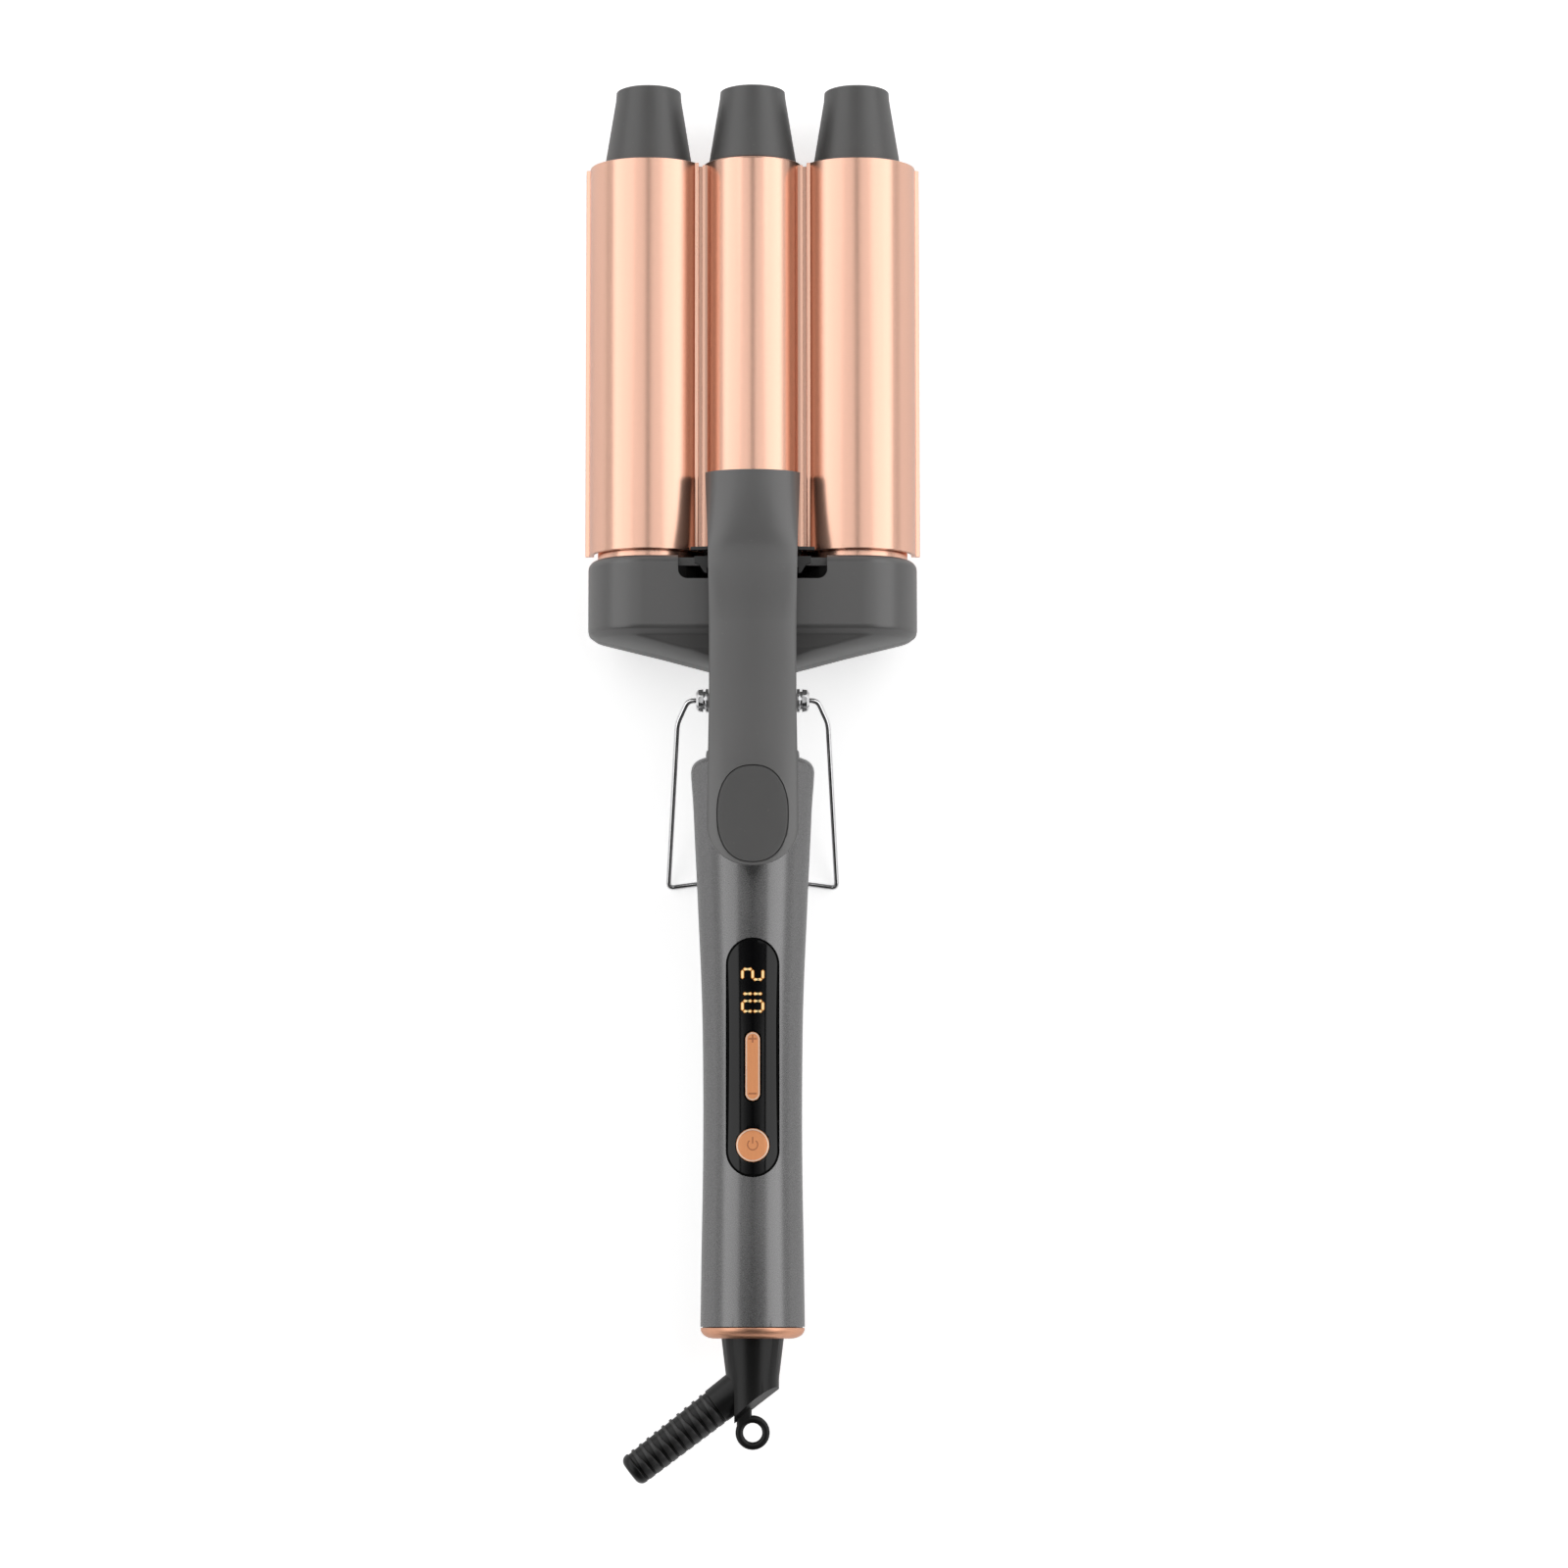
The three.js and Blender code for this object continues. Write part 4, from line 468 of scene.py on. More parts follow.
def flake_group():
    """Metal flakes in paint: tiny cells, each a little lighter or darker."""
    w, given, result = group("flake_paint", {
        "Colour": (0.2, 0.2, 0.2, 1), "Flake": (0.6, 0.6, 0.6, 1), "Amount": 0.3, "Roughness": 0.35,
    }, SURFACE)
    cell = w.cells((3600, 3600, 3600))
    bright = w.math("MULTIPLY", w.range(cell, 0.55, 1.0), given["Amount"])
    base = w.shade(given["Colour"], w.around(w.noise((60, 25, 60), 1.0, 3), 0.1))
    w.fill(result, {
        "Colour": w.mix(bright, base, given["Flake"]),
        "Roughness": w.math("MULTIPLY", given["Roughness"], w.around(cell, 0.35)),
        "Height": cell,
    })
    return w.tree


BRUSHED = brushed_group()
MOULDED = moulded_group()
FLAKE = flake_group()


def finish(name, surface, values, bump=0.0, depth=0.02, **constants):
    """A material whose colour, roughness and relief come from one shared surface group."""
    material, w, shader = new_material(name)
    values = {label: (*value, 1) if isinstance(value, tuple) else value for label, value in values.items()}
    effect = w.add("ShaderNodeGroup", values, node_tree=surface).outputs
    w.fill(shader, {label.replace("_", " "): value for label, value in constants.items()})
    w.fill(shader, {"Base Color": effect["Colour"], "Roughness": effect["Roughness"]})
    if bump:
        relief = {"Strength": bump, "Distance": depth * MM, "Height": effect["Height"]}
        w.fill(shader, {"Normal": w.add("ShaderNodeBump", relief)})
    return material


def brushed(name, colour, roughness, streaks=0.1, fineness=1.0, bump=0.15, metallic=1.0):
    values = {"Colour": colour, "Roughness": roughness, "Streaks": streaks, "Fineness": fineness}
    return finish(name, BRUSHED, values, bump, 0.01, Metallic=metallic)


def moulded(name, colour, roughness, grain=1.0, cloud=0.12, dust=0.03, bump=0.25, **constants):
    values = {"Colour": colour, "Roughness": roughness, "Grain": grain, "Cloud": cloud, "Dust": dust}
    return finish(name, MOULDED, values, bump, 0.02, **constants)


def painted_valley_shade(material):
    """Darkens the colour with painted shade on the flanks that face each other across the two valleys between the
    barrels.
    """
    w = Wiring(material.node_tree)
    x = w.split(w.add("ShaderNodeTexCoord").outputs["Object"])["X"]
    away = w.math("ABSOLUTE", w.math("SUBTRACT", w.math("ABSOLUTE", x), VALLEY_MIDDLE * MM))
    shelf = w.range(away, *[end * MM for end in SHELF_BAND], 1, 0)
    crest = w.range(away, *[end * MM for end in FLANK_BAND])
    # The painted shade's factor: full colour on the shelf and high on the flanks, darker in between.
    share = w.range(w.math("MAXIMUM", shelf, crest), 0, 1, VALLEY_SHADE, 1)
    colour = w.tree.nodes["Principled BSDF"].inputs["Base Color"]
    bright = colour.links[0].from_socket
    w.set(colour, w.add("ShaderNodeVectorMath", {0: bright, "Scale": share}, operation="SCALE"))
    return material


# The barrels' finish carries painted shade in the valleys between them.
ROSE_GOLD = painted_valley_shade(brushed("rose_gold_barrel", (0.93, 0.555, 0.42), 0.25, streaks=0.08))
COPPER_KEY = brushed("rose_gold_key", (0.92, 0.38, 0.16), 0.45, streaks=0.12, fineness=1.6, bump=0.3,
                     metallic=0.2)
COPPER_RING = brushed("rose_gold_ring", (0.88, 0.46, 0.3), 0.4, streaks=0.15, fineness=1.6)
SOFT_GREY = moulded("soft_touch_grey", (0.088, 0.0865, 0.0855), 0.34, Specular_IOR_Level=1.0)
PAD_GREY = moulded("thumb_pad_grey", (0.078, 0.077, 0.076), 0.5, grain=0.7, bump=0.4)
TIP_GREY = moulded("heatproof_grey", (0.074, 0.073, 0.072), 0.4, cloud=0.3, Specular_IOR_Level=0.8)
HANDLE_PAINT = finish(
    "handle_flake_paint", FLAKE,
    {"Colour": (0.207, 0.205, 0.207), "Flake": (0.4, 0.4, 0.4), "Amount": 0.09, "Roughness": 0.27},
    bump=0.05, depth=0.01, Metallic=0.8,
)
PANEL_BLACK = moulded("panel_gloss_black", (0.0015, 0.0015, 0.0018), 0.11, cloud=0.5, dust=0.001, bump=0.02,
                      Specular_IOR_Level=0.42)
# A matte black band round the lens's edge: painted shade of the gap round the lens.
EDGE_SHADE_BLACK = moulded("panel_edge_painted_shade", (0.002, 0.002, 0.002), 0.6, Specular_IOR_Level=0.05)
# The relief's rubber in two copies: the body's, and the ribs' that is lighter and glossier, painted light on the
# ribs against the shaded grooves.
RUBBER_BLACK = moulded("relief_rubber_black", (0.006, 0.006, 0.006), 0.34, cloud=0.4, dust=0.005,
                       Specular_IOR_Level=0.35)
RIB_RUBBER_LIT = moulded("relief_rib_black_painted_light", (0.014, 0.014, 0.014), 0.36, cloud=0.4, dust=0.005,
                     Specular_IOR_Level=0.62)
BRACKET_STEEL = moulded("bracket_black_steel", (0.03, 0.03, 0.03), 0.38, grain=0.8, cloud=0.2)
# Black nylon of the inner pieces; also the painted shade of the gap before the end ring.
INNER_BLACK = moulded("inner_black_nylon_and_gap_shade", (0.02, 0.02, 0.02), 0.5, cloud=0.3)
CHROME = brushed("bright_chrome", (0.85, 0.85, 0.86), 0.1, streaks=0.04, bump=0.03)
NICKEL = brushed("nut_nickel", (0.9, 0.9, 0.91), 0.16, streaks=0.04, bump=0.03)
ZINC = brushed("zinc_plated_steel", (0.55, 0.55, 0.56), 0.3, streaks=0.2)
BRASS = brushed("turned_brass", (0.72, 0.5, 0.2), 0.25, streaks=0.2)
ALUMINIUM = brushed("extruded_aluminium", (0.66, 0.66, 0.68), 0.35, streaks=0.3, bump=0.4)
CERAMIC = moulded("heater_ceramic", (0.72, 0.7, 0.63), 0.7, cloud=0.2)
BOARD_GREEN = moulded("solder_mask_green", (0.02, 0.13, 0.06), 0.3, cloud=0.4)
MODULE_WHITE = moulded("display_module_white", (0.7, 0.69, 0.66), 0.4)
RED_COVER = moulded("red_insulation", (0.35, 0.03, 0.02), 0.4)
BLUE_COVER = moulded("blue_insulation", (0.03, 0.08, 0.35), 0.4)
SIGN_INK = moulded("key_sign_ink", (0.5, 0.17, 0.07), 0.5)
# A lighter metal band round each key's edge: a polished rim whose light colour is also a painted highlight of the
# key's chamfer.
KEY_RIM_HIGHLIGHT = brushed("key_rim_polish_and_highlight", (0.97, 0.72, 0.56), 0.3, streaks=0.1, fineness=1.6, metallic=0.35)


def amber_light():
    """Lit display bars: near-white in the middle of each bar, orange towards its edge."""
    material, w, shader = new_material("display_amber")
    core = w.add("ShaderNodeAttribute", attribute_name="core").outputs["Fac"]
    glow = w.math("MULTIPLY", core, w.around(w.noise((1400, 1400, 1400)), 0.5), clamp=True)
    halo = w.mix(w.range(glow, 0.0, 0.4), (0.015, 0.002, 0.0, 1), (0.6, 0.2, 0.02, 1))
    w.fill(shader, {
        "Base Color": (0.05, 0.02, 0.0, 1), "Roughness": 0.3, "Emission Strength": 1.0,
        "Emission Color": w.mix(w.range(glow, 0.3, 0.9), halo, (0.95, 0.74, 0.36, 1)),
    })
    return material


AMBER = amber_light()


# Mesh making

def eased(points, reach, steps=4, closed=False, least=12):
    """The line with each corner sharper than `least` degrees turned into a short curve."""
    line = [np.array(point, float) for point in points]
    count = len(line)
    result = []
    for i, here in enumerate(line):
        if not closed and i in (0, count - 1):
            result.append(tuple(here))
            continue
        before, after = line[i - 1] - here, line[(i + 1) % count] - here
        back, ahead = np.linalg.norm(before), np.linalg.norm(after)
        turn = 180 - math.degrees(math.acos(np.clip(before @ after / (back * ahead), -1, 1)))
        if turn < least:
            result.append(tuple(here))
            continue
        length = min(reach, back * 0.45, ahead * 0.45)
        start, end = here + before / back * length, here + after / ahead * length
        for step in range(steps + 1):
            t = step / steps
            result.append(tuple((1 - t) ** 2 * start + 2 * t * (1 - t) * here + t * t * end))
    return result


def arc(cx, cz, radius, start, end, steps):
    angles = [math.radians(start + (end - start) * i / steps) for i in range(steps + 1)]
    return [(cx + radius * math.cos(a), cz + radius * math.sin(a)) for a in angles]


def rounded_box(half_width, half_height, corner, steps=12):
    cx, cz = half_width - corner, half_height - corner
    return [point for centre_x, centre_z, start in ((cx, cz, 0), (-cx, cz, 90), (-cx, -cz, 180), (cx, -cz, 270))
            for point in arc(centre_x, centre_z, corner, start, start + 90, steps)]


def stadium(half_width, half_length, centre, steps=24):
    reach = half_length - half_width
    return [*arc(0, centre + reach, half_width, 0, 180, steps),
            *arc(0, centre - reach, half_width, 180, 360, steps)]


def smooth_line(points, smooth=True):
    """The value at any y, through [y, value] points, on a smooth curve or else on straight lines."""
    ordered = sorted(points)
    ys, values = np.array([p[0] for p in ordered]), np.array([p[1] for p in ordered])
    if not smooth:
        return lambda y: float(np.interp(y, ys, values))
    slopes = np.gradient(values, ys)

    def read(y):
        y = min(max(y, ys[0]), ys[-1])
        i = min(max(int(np.searchsorted(ys, y)) - 1, 0), len(ys) - 2)
        span = ys[i + 1] - ys[i]
        t = (y - ys[i]) / span
        return float(
            (2 * t ** 3 - 3 * t ** 2 + 1) * values[i] + (t ** 3 - 2 * t ** 2 + t) * span * slopes[i]
            + (3 * t ** 2 - 2 * t ** 3) * values[i + 1] + (t ** 3 - t ** 2) * span * slopes[i + 1]
        )
    return read


def loose(shape, merge=True):
    """An object of its own for a mesh or a bmesh, whose double points are merged."""
    mesh = shape
    if isinstance(shape, bmesh.types.BMesh):
        if merge:
            bmesh.ops.remove_doubles(shape, verts=shape.verts, dist=1e-5)
        bmesh.ops.recalc_face_normals(shape, faces=shape.faces)
        mesh = bpy.data.meshes.new("shape")
        shape.to_mesh(mesh)
        shape.free()
    return in_scene("shape", mesh)


def skin(rings, close_rings=False):
    """A closed skin through rings of points with equal counts; a ring of one point is a pole."""
    bm = bmesh.new()
    rows = [[bm.verts.new(point) for point in ring] for ring in rings]
    pairs = list(zip(rows, rows[1:]))
    if close_rings:
        pairs.append((rows[-1], rows[0]))
    for first, second in pairs:
        count = max(len(first), len(second))
        for i in range(count):
            j = (i + 1) % count
            if len(first) == 1:
                corners = (first[0], second[j], second[i])
            elif len(second) == 1:
                corners = (first[i], first[j], second[0])
            else:
                corners = (first[i], first[j], second[j], second[i])
            bm.faces.new(corners)
    if not close_rings:
        for row in (rows[0], rows[-1]):
            if len(row) > 2:
                bm.faces.new(row)
    return loose(bm)


def turned(outline, x=0.0, z=0.0, segments=96, axis="y", y=0.0):
    """A turned solid; the outline is [radius, place along the axis], closed on the axis or on itself."""
    rings = []
    for radius, along in outline:
        if radius < 1e-6:
            spots = [(0.0, 0.0)]
        else:
            spots = [(radius * math.cos(2 * math.pi * i / segments), radius * math.sin(2 * math.pi * i / segments))
                     for i in range(segments)]
        if axis == "y":
            rings.append([(x + u, along, z + v) for u, v in spots])
        elif axis == "x":
            rings.append([(along, y + u, z + v) for u, v in spots])
        else:
            rings.append([(x + u, y + v, along) for u, v in spots])
    return skin(rings, close_rings=outline[0][0] > 1e-6)


def rod(radius, span, axis="z", segments=48, **place):
    low, high = span
    return turned([(0, low), (radius, low), (radius, high), (0, high)], segments=segments, axis=axis, **place)


def block(xs, ys, zs):
    ring = [(xs[0], zs[0]), (xs[1], zs[0]), (xs[1], zs[1]), (xs[0], zs[1])]
    return skin([[(x, y, z) for x, z in ring] for y in ys])


def prism_y(outline, span):
    return skin([[(x, y, z) for x, z in outline] for y in span])


def prism_z(outline, span):
    return skin([[(x, y, z) for x, y in outline] for z in span])


def ahead_at(line, i):
    return (line[min(i + 1, len(line) - 1)] - line[max(i - 1, 0)]).normalized()


def swept(path, radius, sides=16):
    """A round wire along a line of points."""
    points = [Vector(p) for p in path]
    across = ahead_at(points, 0).orthogonal().normalized()
    angles = [2 * math.pi * i / sides for i in range(sides)]
    rings = []
    for i, point in enumerate(points):
        ahead = ahead_at(points, i)
        across = (across - ahead * across.dot(ahead)).normalized()
        other = ahead.cross(across)
        rings.append([tuple(point + (across * math.cos(a) + other * math.sin(a)) * radius) for a in angles])
    return skin(rings)


def evaluated(obj):
    """The object's mesh with its modifiers in it, which are then gone."""
    bpy.context.view_layer.update()
    mesh = bpy.data.meshes.new_from_object(obj.evaluated_get(bpy.context.evaluated_depsgraph_get()))
    obj.modifiers.clear()
    obj.data = mesh
    return obj


def carved(base, cuts=(), joins=(), keeps=()):
    others = []
    for operation, group_of in (("UNION", joins), ("INTERSECT", keeps), ("DIFFERENCE", cuts)):
        for other in group_of:
            modifier = base.modifiers.new(operation.lower(), "BOOLEAN")
            modifier.operation = operation
            modifier.solver = "MANIFOLD"
            modifier.object = other
            others.append(other)
    evaluated(base)
    for other in set(others):
        bpy.data.objects.remove(other)
    return base


def bevelled(obj, width, segments=3, limit=30):
    edges = obj.modifiers.new("edges", "BEVEL")
    edges.width = width
    edges.segments = segments
    edges.limit_method = "ANGLE"
    edges.angle_limit = math.radians(limit)
    return evaluated(obj)


def joined(first, *others):
    """Several meshes in one object, without merging them."""
    bm = bmesh.new()
    for obj in (first, *others):
        bm.from_mesh(obj.data)
    mesh = bpy.data.meshes.new("joined")
    bm.to_mesh(mesh)
    bm.free()
    first.data = mesh
    for obj in others:
        bpy.data.objects.remove(obj)
    return first


def finished(obj, name, body, material, nodes=(), bevel=0.0, segments=2, sharp=30, limit=35):
    """Gives the shape its rounded edges, its place in the part, its finish and its body."""
    if bevel:
        bevelled(obj, bevel, segments, limit)
    obj.data.transform(Matrix.Scale(MM, 4) @ Matrix.Translation(WORKING_ORIGIN))
    obj.data.polygons.foreach_set("use_smooth", [True] * len(obj.data.polygons))
    obj.data.set_sharp_from_angle(angle=math.radians(sharp))
    if bevel:
        level = obj.modifiers.new("level", "WEIGHTED_NORMAL")
        level.keep_sharp = True
        evaluated(obj)
    obj.name = name
    obj.data.name = name
    obj.data.materials.clear()
    obj.data.materials.append(material)
    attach(obj, body)
    if nodes:
        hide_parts(*nodes)


# Head and neck

def head_skin():
    full = np.array([HEAD_HALF_WIDTH, HEAD_HALF_DEPTH, HEAD_CORNER], float)
    fillet = [(-HEAD_FILLET * (1 - math.sin(a)), *(full - HEAD_FILLET * (1 - math.cos(a))))
              for a in np.radians(np.linspace(90, 0, 9))]
    taper = TAPER_END + HEAD_LENGTH
    rest = [
        (-HEAD_LENGTH, *full), (-HEAD_LENGTH + taper * 0.16, *(full - 2.6)),
        (-HEAD_LENGTH + taper * 0.53, HEAD_HALF_WIDTH * 0.59, HEAD_HALF_DEPTH * 0.83, HEAD_CORNER * 0.66),
        (-HEAD_LENGTH + taper * 0.93, NECK_HALF_WIDTH + 2, NECK_HALF_HEIGHT, NECK_CORNER + 2),
        (TAPER_END, NECK_HALF_WIDTH, NECK_HALF_HEIGHT, NECK_CORNER),
    ]
    stations = eased([fillet[-1], *rest], 1.2, steps=5, least=6)
    stations = fillet[:-1] + stations
    return skin([[(x, y, z) for x, z in rounded_box(w, h, c, 16)] for y, w, h, c in stations])


def head_hollow():
    w, h, c = HEAD_HALF_WIDTH - HEAD_WALL, HEAD_HALF_DEPTH - HEAD_WALL, HEAD_CORNER - HEAD_WALL
    taper = TAPER_END + HEAD_LENGTH
    throat = (NECK_HALF_WIDTH - NECK_WALL, NECK_HALF_HEIGHT - NECK_WALL, NECK_CORNER - NECK_WALL + 0.7)
    stations = [
        (-HEAD_WALL - 0.2, w - 0.2, h - 0.2, c - 0.2), (-HEAD_LENGTH + 2.3, w, h, c),
        (-HEAD_LENGTH + 0.5, w - 2.6, h - 1.3, c - 1.7),
        (-HEAD_LENGTH + taper * 0.32, HEAD_HALF_WIDTH * 0.55, HEAD_HALF_DEPTH * 0.72, HEAD_CORNER * 0.54),
        (-HEAD_LENGTH + taper * 0.72, throat[0] + 0.7, throat[1] + 0.2, throat[2] + 0.3),
        (TAPER_END - 1, *throat), (NECK_END - 0.2, *throat),
    ]
    return skin([[(x, y, z) for x, z in rounded_box(a, b, r)] for y, a, b, r in stations])


def neck_and_collar():
    tube = prism_y(rounded_box(NECK_HALF_WIDTH, NECK_HALF_HEIGHT, NECK_CORNER), (NECK_END, TAPER_END + 1))
    flange_front = HANDLE_FRONT - HANDLE_FRONT_WALL - GAP
    flange = SPIGOT_RADIUS + 2.3
    collar = turned([
        (0, NECK_END + 0.5),
        *eased([(8, NECK_END + 0.5), (COLLAR_RADIUS - 0.2, NECK_END + 0.5), (COLLAR_RADIUS, COLLAR_REAR),
                (SPIGOT_RADIUS, COLLAR_REAR)], 0.8),
        (SPIGOT_RADIUS, flange_front), (flange, flange_front), (flange, flange_front - 2),
        (SPIGOT_RADIUS, flange_front - 2), (SPIGOT_RADIUS, COLLAR_REAR - SPIGOT_LENGTH),
        (0, COLLAR_REAR - SPIGOT_LENGTH),
    ])
    return tube, collar


def housings():
    tube, collar = neck_and_collar()
    spigot_bore = rod(SPIGOT_RADIUS - SPIGOT_WALL, (COLLAR_REAR - SPIGOT_LENGTH - 1, NECK_END + 1), "y")
    pin_hole = rod(HINGE_HOLE, (-NECK_HALF_WIDTH - 1, NECK_HALF_WIDTH + 1), "x", **PIVOT)
    sockets = [rod(BARREL_RADIUS + GAP, (-BARREL_ROOT, 1), "y", 96, x=side * BARREL_PITCH) for side in (-1, 1)]
    leg_x, leg_y = SPRING_TURNS * SPRING_PITCH / 2, PIVOT_Y + SPRING_RADIUS
    slot = block((leg_x - 1.4, leg_x + 1.4), (leg_y - 1.8, leg_y + 1.8), (NECK_HALF_HEIGHT - NECK_WALL - 2, 40))
    notch = prism_z(rounded_box(NOTCH_HALF_WIDTH, NOTCH_REACH, NOTCH_CORNER), (NOTCH_FLOOR, 40))
    cuts = [head_hollow(), spigot_bore, pin_hole, *sockets, slot, notch]
    shell = carved(head_skin(), joins=[tube, collar], cuts=cuts)
    floor = -HEAD_HALF_DEPTH + HEAD_WALL
    seat = (-FAR, -HEAD_HALF_DEPTH + HEAD_SCREW_SEAT)
    halves = (
        ("head_upper", (SPLIT / 2, FAR), (UPPER_BOSS_RADIUS, (SPLIT / 2, -floor + 0.5)),
         [(SCREW_RADIUS, (-1, 9))]),
        ("head_lower", (-FAR, -SPLIT / 2), (LOWER_BOSS_RADIUS, (floor - 0.5, -SPLIT / 2)),
         [(SCREW_RADIUS, (floor - 9, 1)), (SCREW_HEAD_RADIUS, seat)]),
    )
    for name, zs, boss, holes in halves:
        piece = loose(shell.data.copy())
        places = [{"x": side * HEAD_SCREW_X, "y": HEAD_SCREW_Y} for side in (-1, 1)]
        bosses = [rod(*boss, **place) for place in places]
        drilled = [rod(radius + GAP, span, **place) for place in places for radius, span in holes]
        carved(piece, keeps=[block((-FAR, FAR), (-FAR, FAR), zs)])
        carved(piece, joins=bosses, cuts=drilled)
        finished(piece, name, "handle", SOFT_GREY, [f"{name}_housing"], bevel=0.18, limit=50)
    bpy.data.objects.remove(shell)


# Barrels and tips

def barrel_tube(x, z, start):
    outer = eased([(BARREL_RADIUS, start), (BARREL_RADIUS, BARREL_LENGTH), (BARREL_MOUTH, BARREL_LENGTH),
                   (BARREL_MOUTH, BARREL_LENGTH - BARREL_WALL)], 0.7)
    inner = [(BARREL_BORE, BARREL_LENGTH - BARREL_WALL), (BARREL_BORE, start)]
    return turned([*outer, *inner], x, z, 128)


def tip_shape(x, z, length, flatness):
    base = BARREL_RADIUS - TIP_STEP
    end = base - TIP_TAPER
    seat = BARREL_LENGTH + GAP
    shoulder = seat + length - flatness
    plug = BARREL_MOUTH - GAP
    foot = BARREL_LENGTH - TIP_PLUG
    ceiling = shoulder - TIP_WALL
    dome = [(end * (1 - t ** 3.2) ** 0.5 if t < 1 else 0, shoulder + flatness * min(0.35 + 0.65 * t ** 0.8, 1))
            for t in np.linspace(0.25, 1, 14)]
    side = eased([(plug, seat), (base, seat), (base - 0.05, seat + 1.2), (end, shoulder), dome[2]], 0.9, steps=5)
    return turned([
        (0, ceiling), (end - 0.5 - TIP_WALL, ceiling), (plug - TIP_WALL, seat), (plug - TIP_WALL, foot),
        (plug, foot), *side, *dome[3:],
    ], x, z)


def fixed_barrels():
    for side, sign in SIDES:
        x = sign * BARREL_PITCH
        finished(barrel_tube(x, 0, -BARREL_ROOT), f"barrel_{side}_tube", "handle", ROSE_GOLD,
                 [f"barrel_{side}"])
        finished(tip_shape(x, 0, TIP_LENGTH, TIP_FLATNESS), f"tip_{side}_cap", "handle", TIP_GREY,
                 [f"tip_{side}"])


def beside_barrel(height):
    """How far from a barrel's axis a wall stands clear of it, at this height over the axis."""
    return math.sqrt((BARREL_RADIUS + GAP) ** 2 - height ** 2)


def valley_plate():
    inner = BARREL_RADIUS + VALLEY_GAP
    outer = inner + JAW_SHEET
    top, bottom = VALLEY_PLATE_TOP, VALLEY_PLATE_BOTTOM
    top_x, bottom_x = BARREL_PITCH - beside_barrel(top), BARREL_PITCH - beside_barrel(bottom)
    outline = [
        *arc(0, MIDDLE_RAISE, inner, 220, 320, 40), (top_x - 1.4, top), (top_x, top), (bottom_x, bottom),
        *arc(0, MIDDLE_RAISE, outer, 317, 223, 40), (-bottom_x, bottom), (-top_x, top), (-top_x + 1.4, top),
    ]
    finished(prism_y(outline, (GAP, JAW_END)), "valley_plate", "handle", ROSE_GOLD,
             ["lower_valley_plate"], bevel=0.15)


# Sprung jaw

def wings():
    top = 180 - math.degrees(math.asin(VALLEY_HEIGHT / WING_OUTER))
    start = -math.degrees(math.asin(WING_LIP_DROP / WING_OUTER))
    lip = BARREL_PITCH + WING_OUTER + WING_LIP
    shelf_foot = VALLEY_HEIGHT - SHELF_THICKNESS
    sheet = [
        (lip, -WING_LIP_DROP), (lip, -WING_LIP_DROP + 0.9), *arc(BARREL_PITCH, 0, WING_OUTER, start + 4, top, 56),
        (WING_SHELF, VALLEY_HEIGHT - VALLEY_DIP), (WING_SHELF, shelf_foot),
        *arc(BARREL_PITCH, 0, WING_INNER, top + 0.5, start, 56),
    ]
    rail_top = shelf_foot - GAP
    rail_foot = rail_top - RAIL_DEPTH
    rail = [
        (beside_barrel(rail_top - MIDDLE_RAISE) + 0.3, rail_top), (WING_SHELF + 1.9, rail_top),
        (WING_SHELF + 0.7, rail_foot), (beside_barrel(rail_foot - MIDDLE_RAISE), rail_foot),
    ]
    for side, sign in SIDES:
        piece = prism_y([(sign * x, z) for x, z in sheet], (JAW_START, JAW_END))
        finished(piece, f"wing_{side}_sheet", "clamp", ROSE_GOLD, [f"wing_{side}"], bevel=0.22,
                 segments=3)
        piece = prism_y([(sign * x, z) for x, z in rail], (JAW_START + BRACKET_THICKNESS + GAP, JAW_END - 1))
        finished(piece, f"rail_{side}", "clamp", ROSE_GOLD, [f"jaw_rail_{side}"], bevel=0.15)


def middle_barrel():
    start = JAW_START + BRACKET_THICKNESS + GAP
    groove = WING_SHELF - VALLEY_GROOVE
    root = math.sqrt(BARREL_RADIUS ** 2 - (VALLEY_HEIGHT - MIDDLE_RAISE) ** 2) - 0.8
    fin_foot = VALLEY_HEIGHT - SHELF_THICKNESS
    fin = [(root, fin_foot), (root, VALLEY_HEIGHT), (groove, VALLEY_HEIGHT - FIN_DIP), (groove, fin_foot)]
    fins = [prism_y([(sign * x, z) for x, z in fin], (start, BARREL_LENGTH - 1)) for sign in (-1, 1)]
    holes = [rod(SCREW_RADIUS + GAP, (MIDDLE_TOP - 4, MIDDLE_TOP + 1), y=y) for y in SADDLE_SCREWS_Y]
    tube = carved(barrel_tube(0, MIDDLE_RAISE, start), joins=fins, cuts=holes)
    finished(tube, "barrel_middle_tube", "clamp", ROSE_GOLD, ["barrel_middle"])
    tip = tip_shape(0, MIDDLE_RAISE, MIDDLE_TIP_LENGTH, MIDDLE_TIP_FLATNESS)
    finished(tip, "tip_middle_cap", "clamp", TIP_GREY, ["tip_middle"])


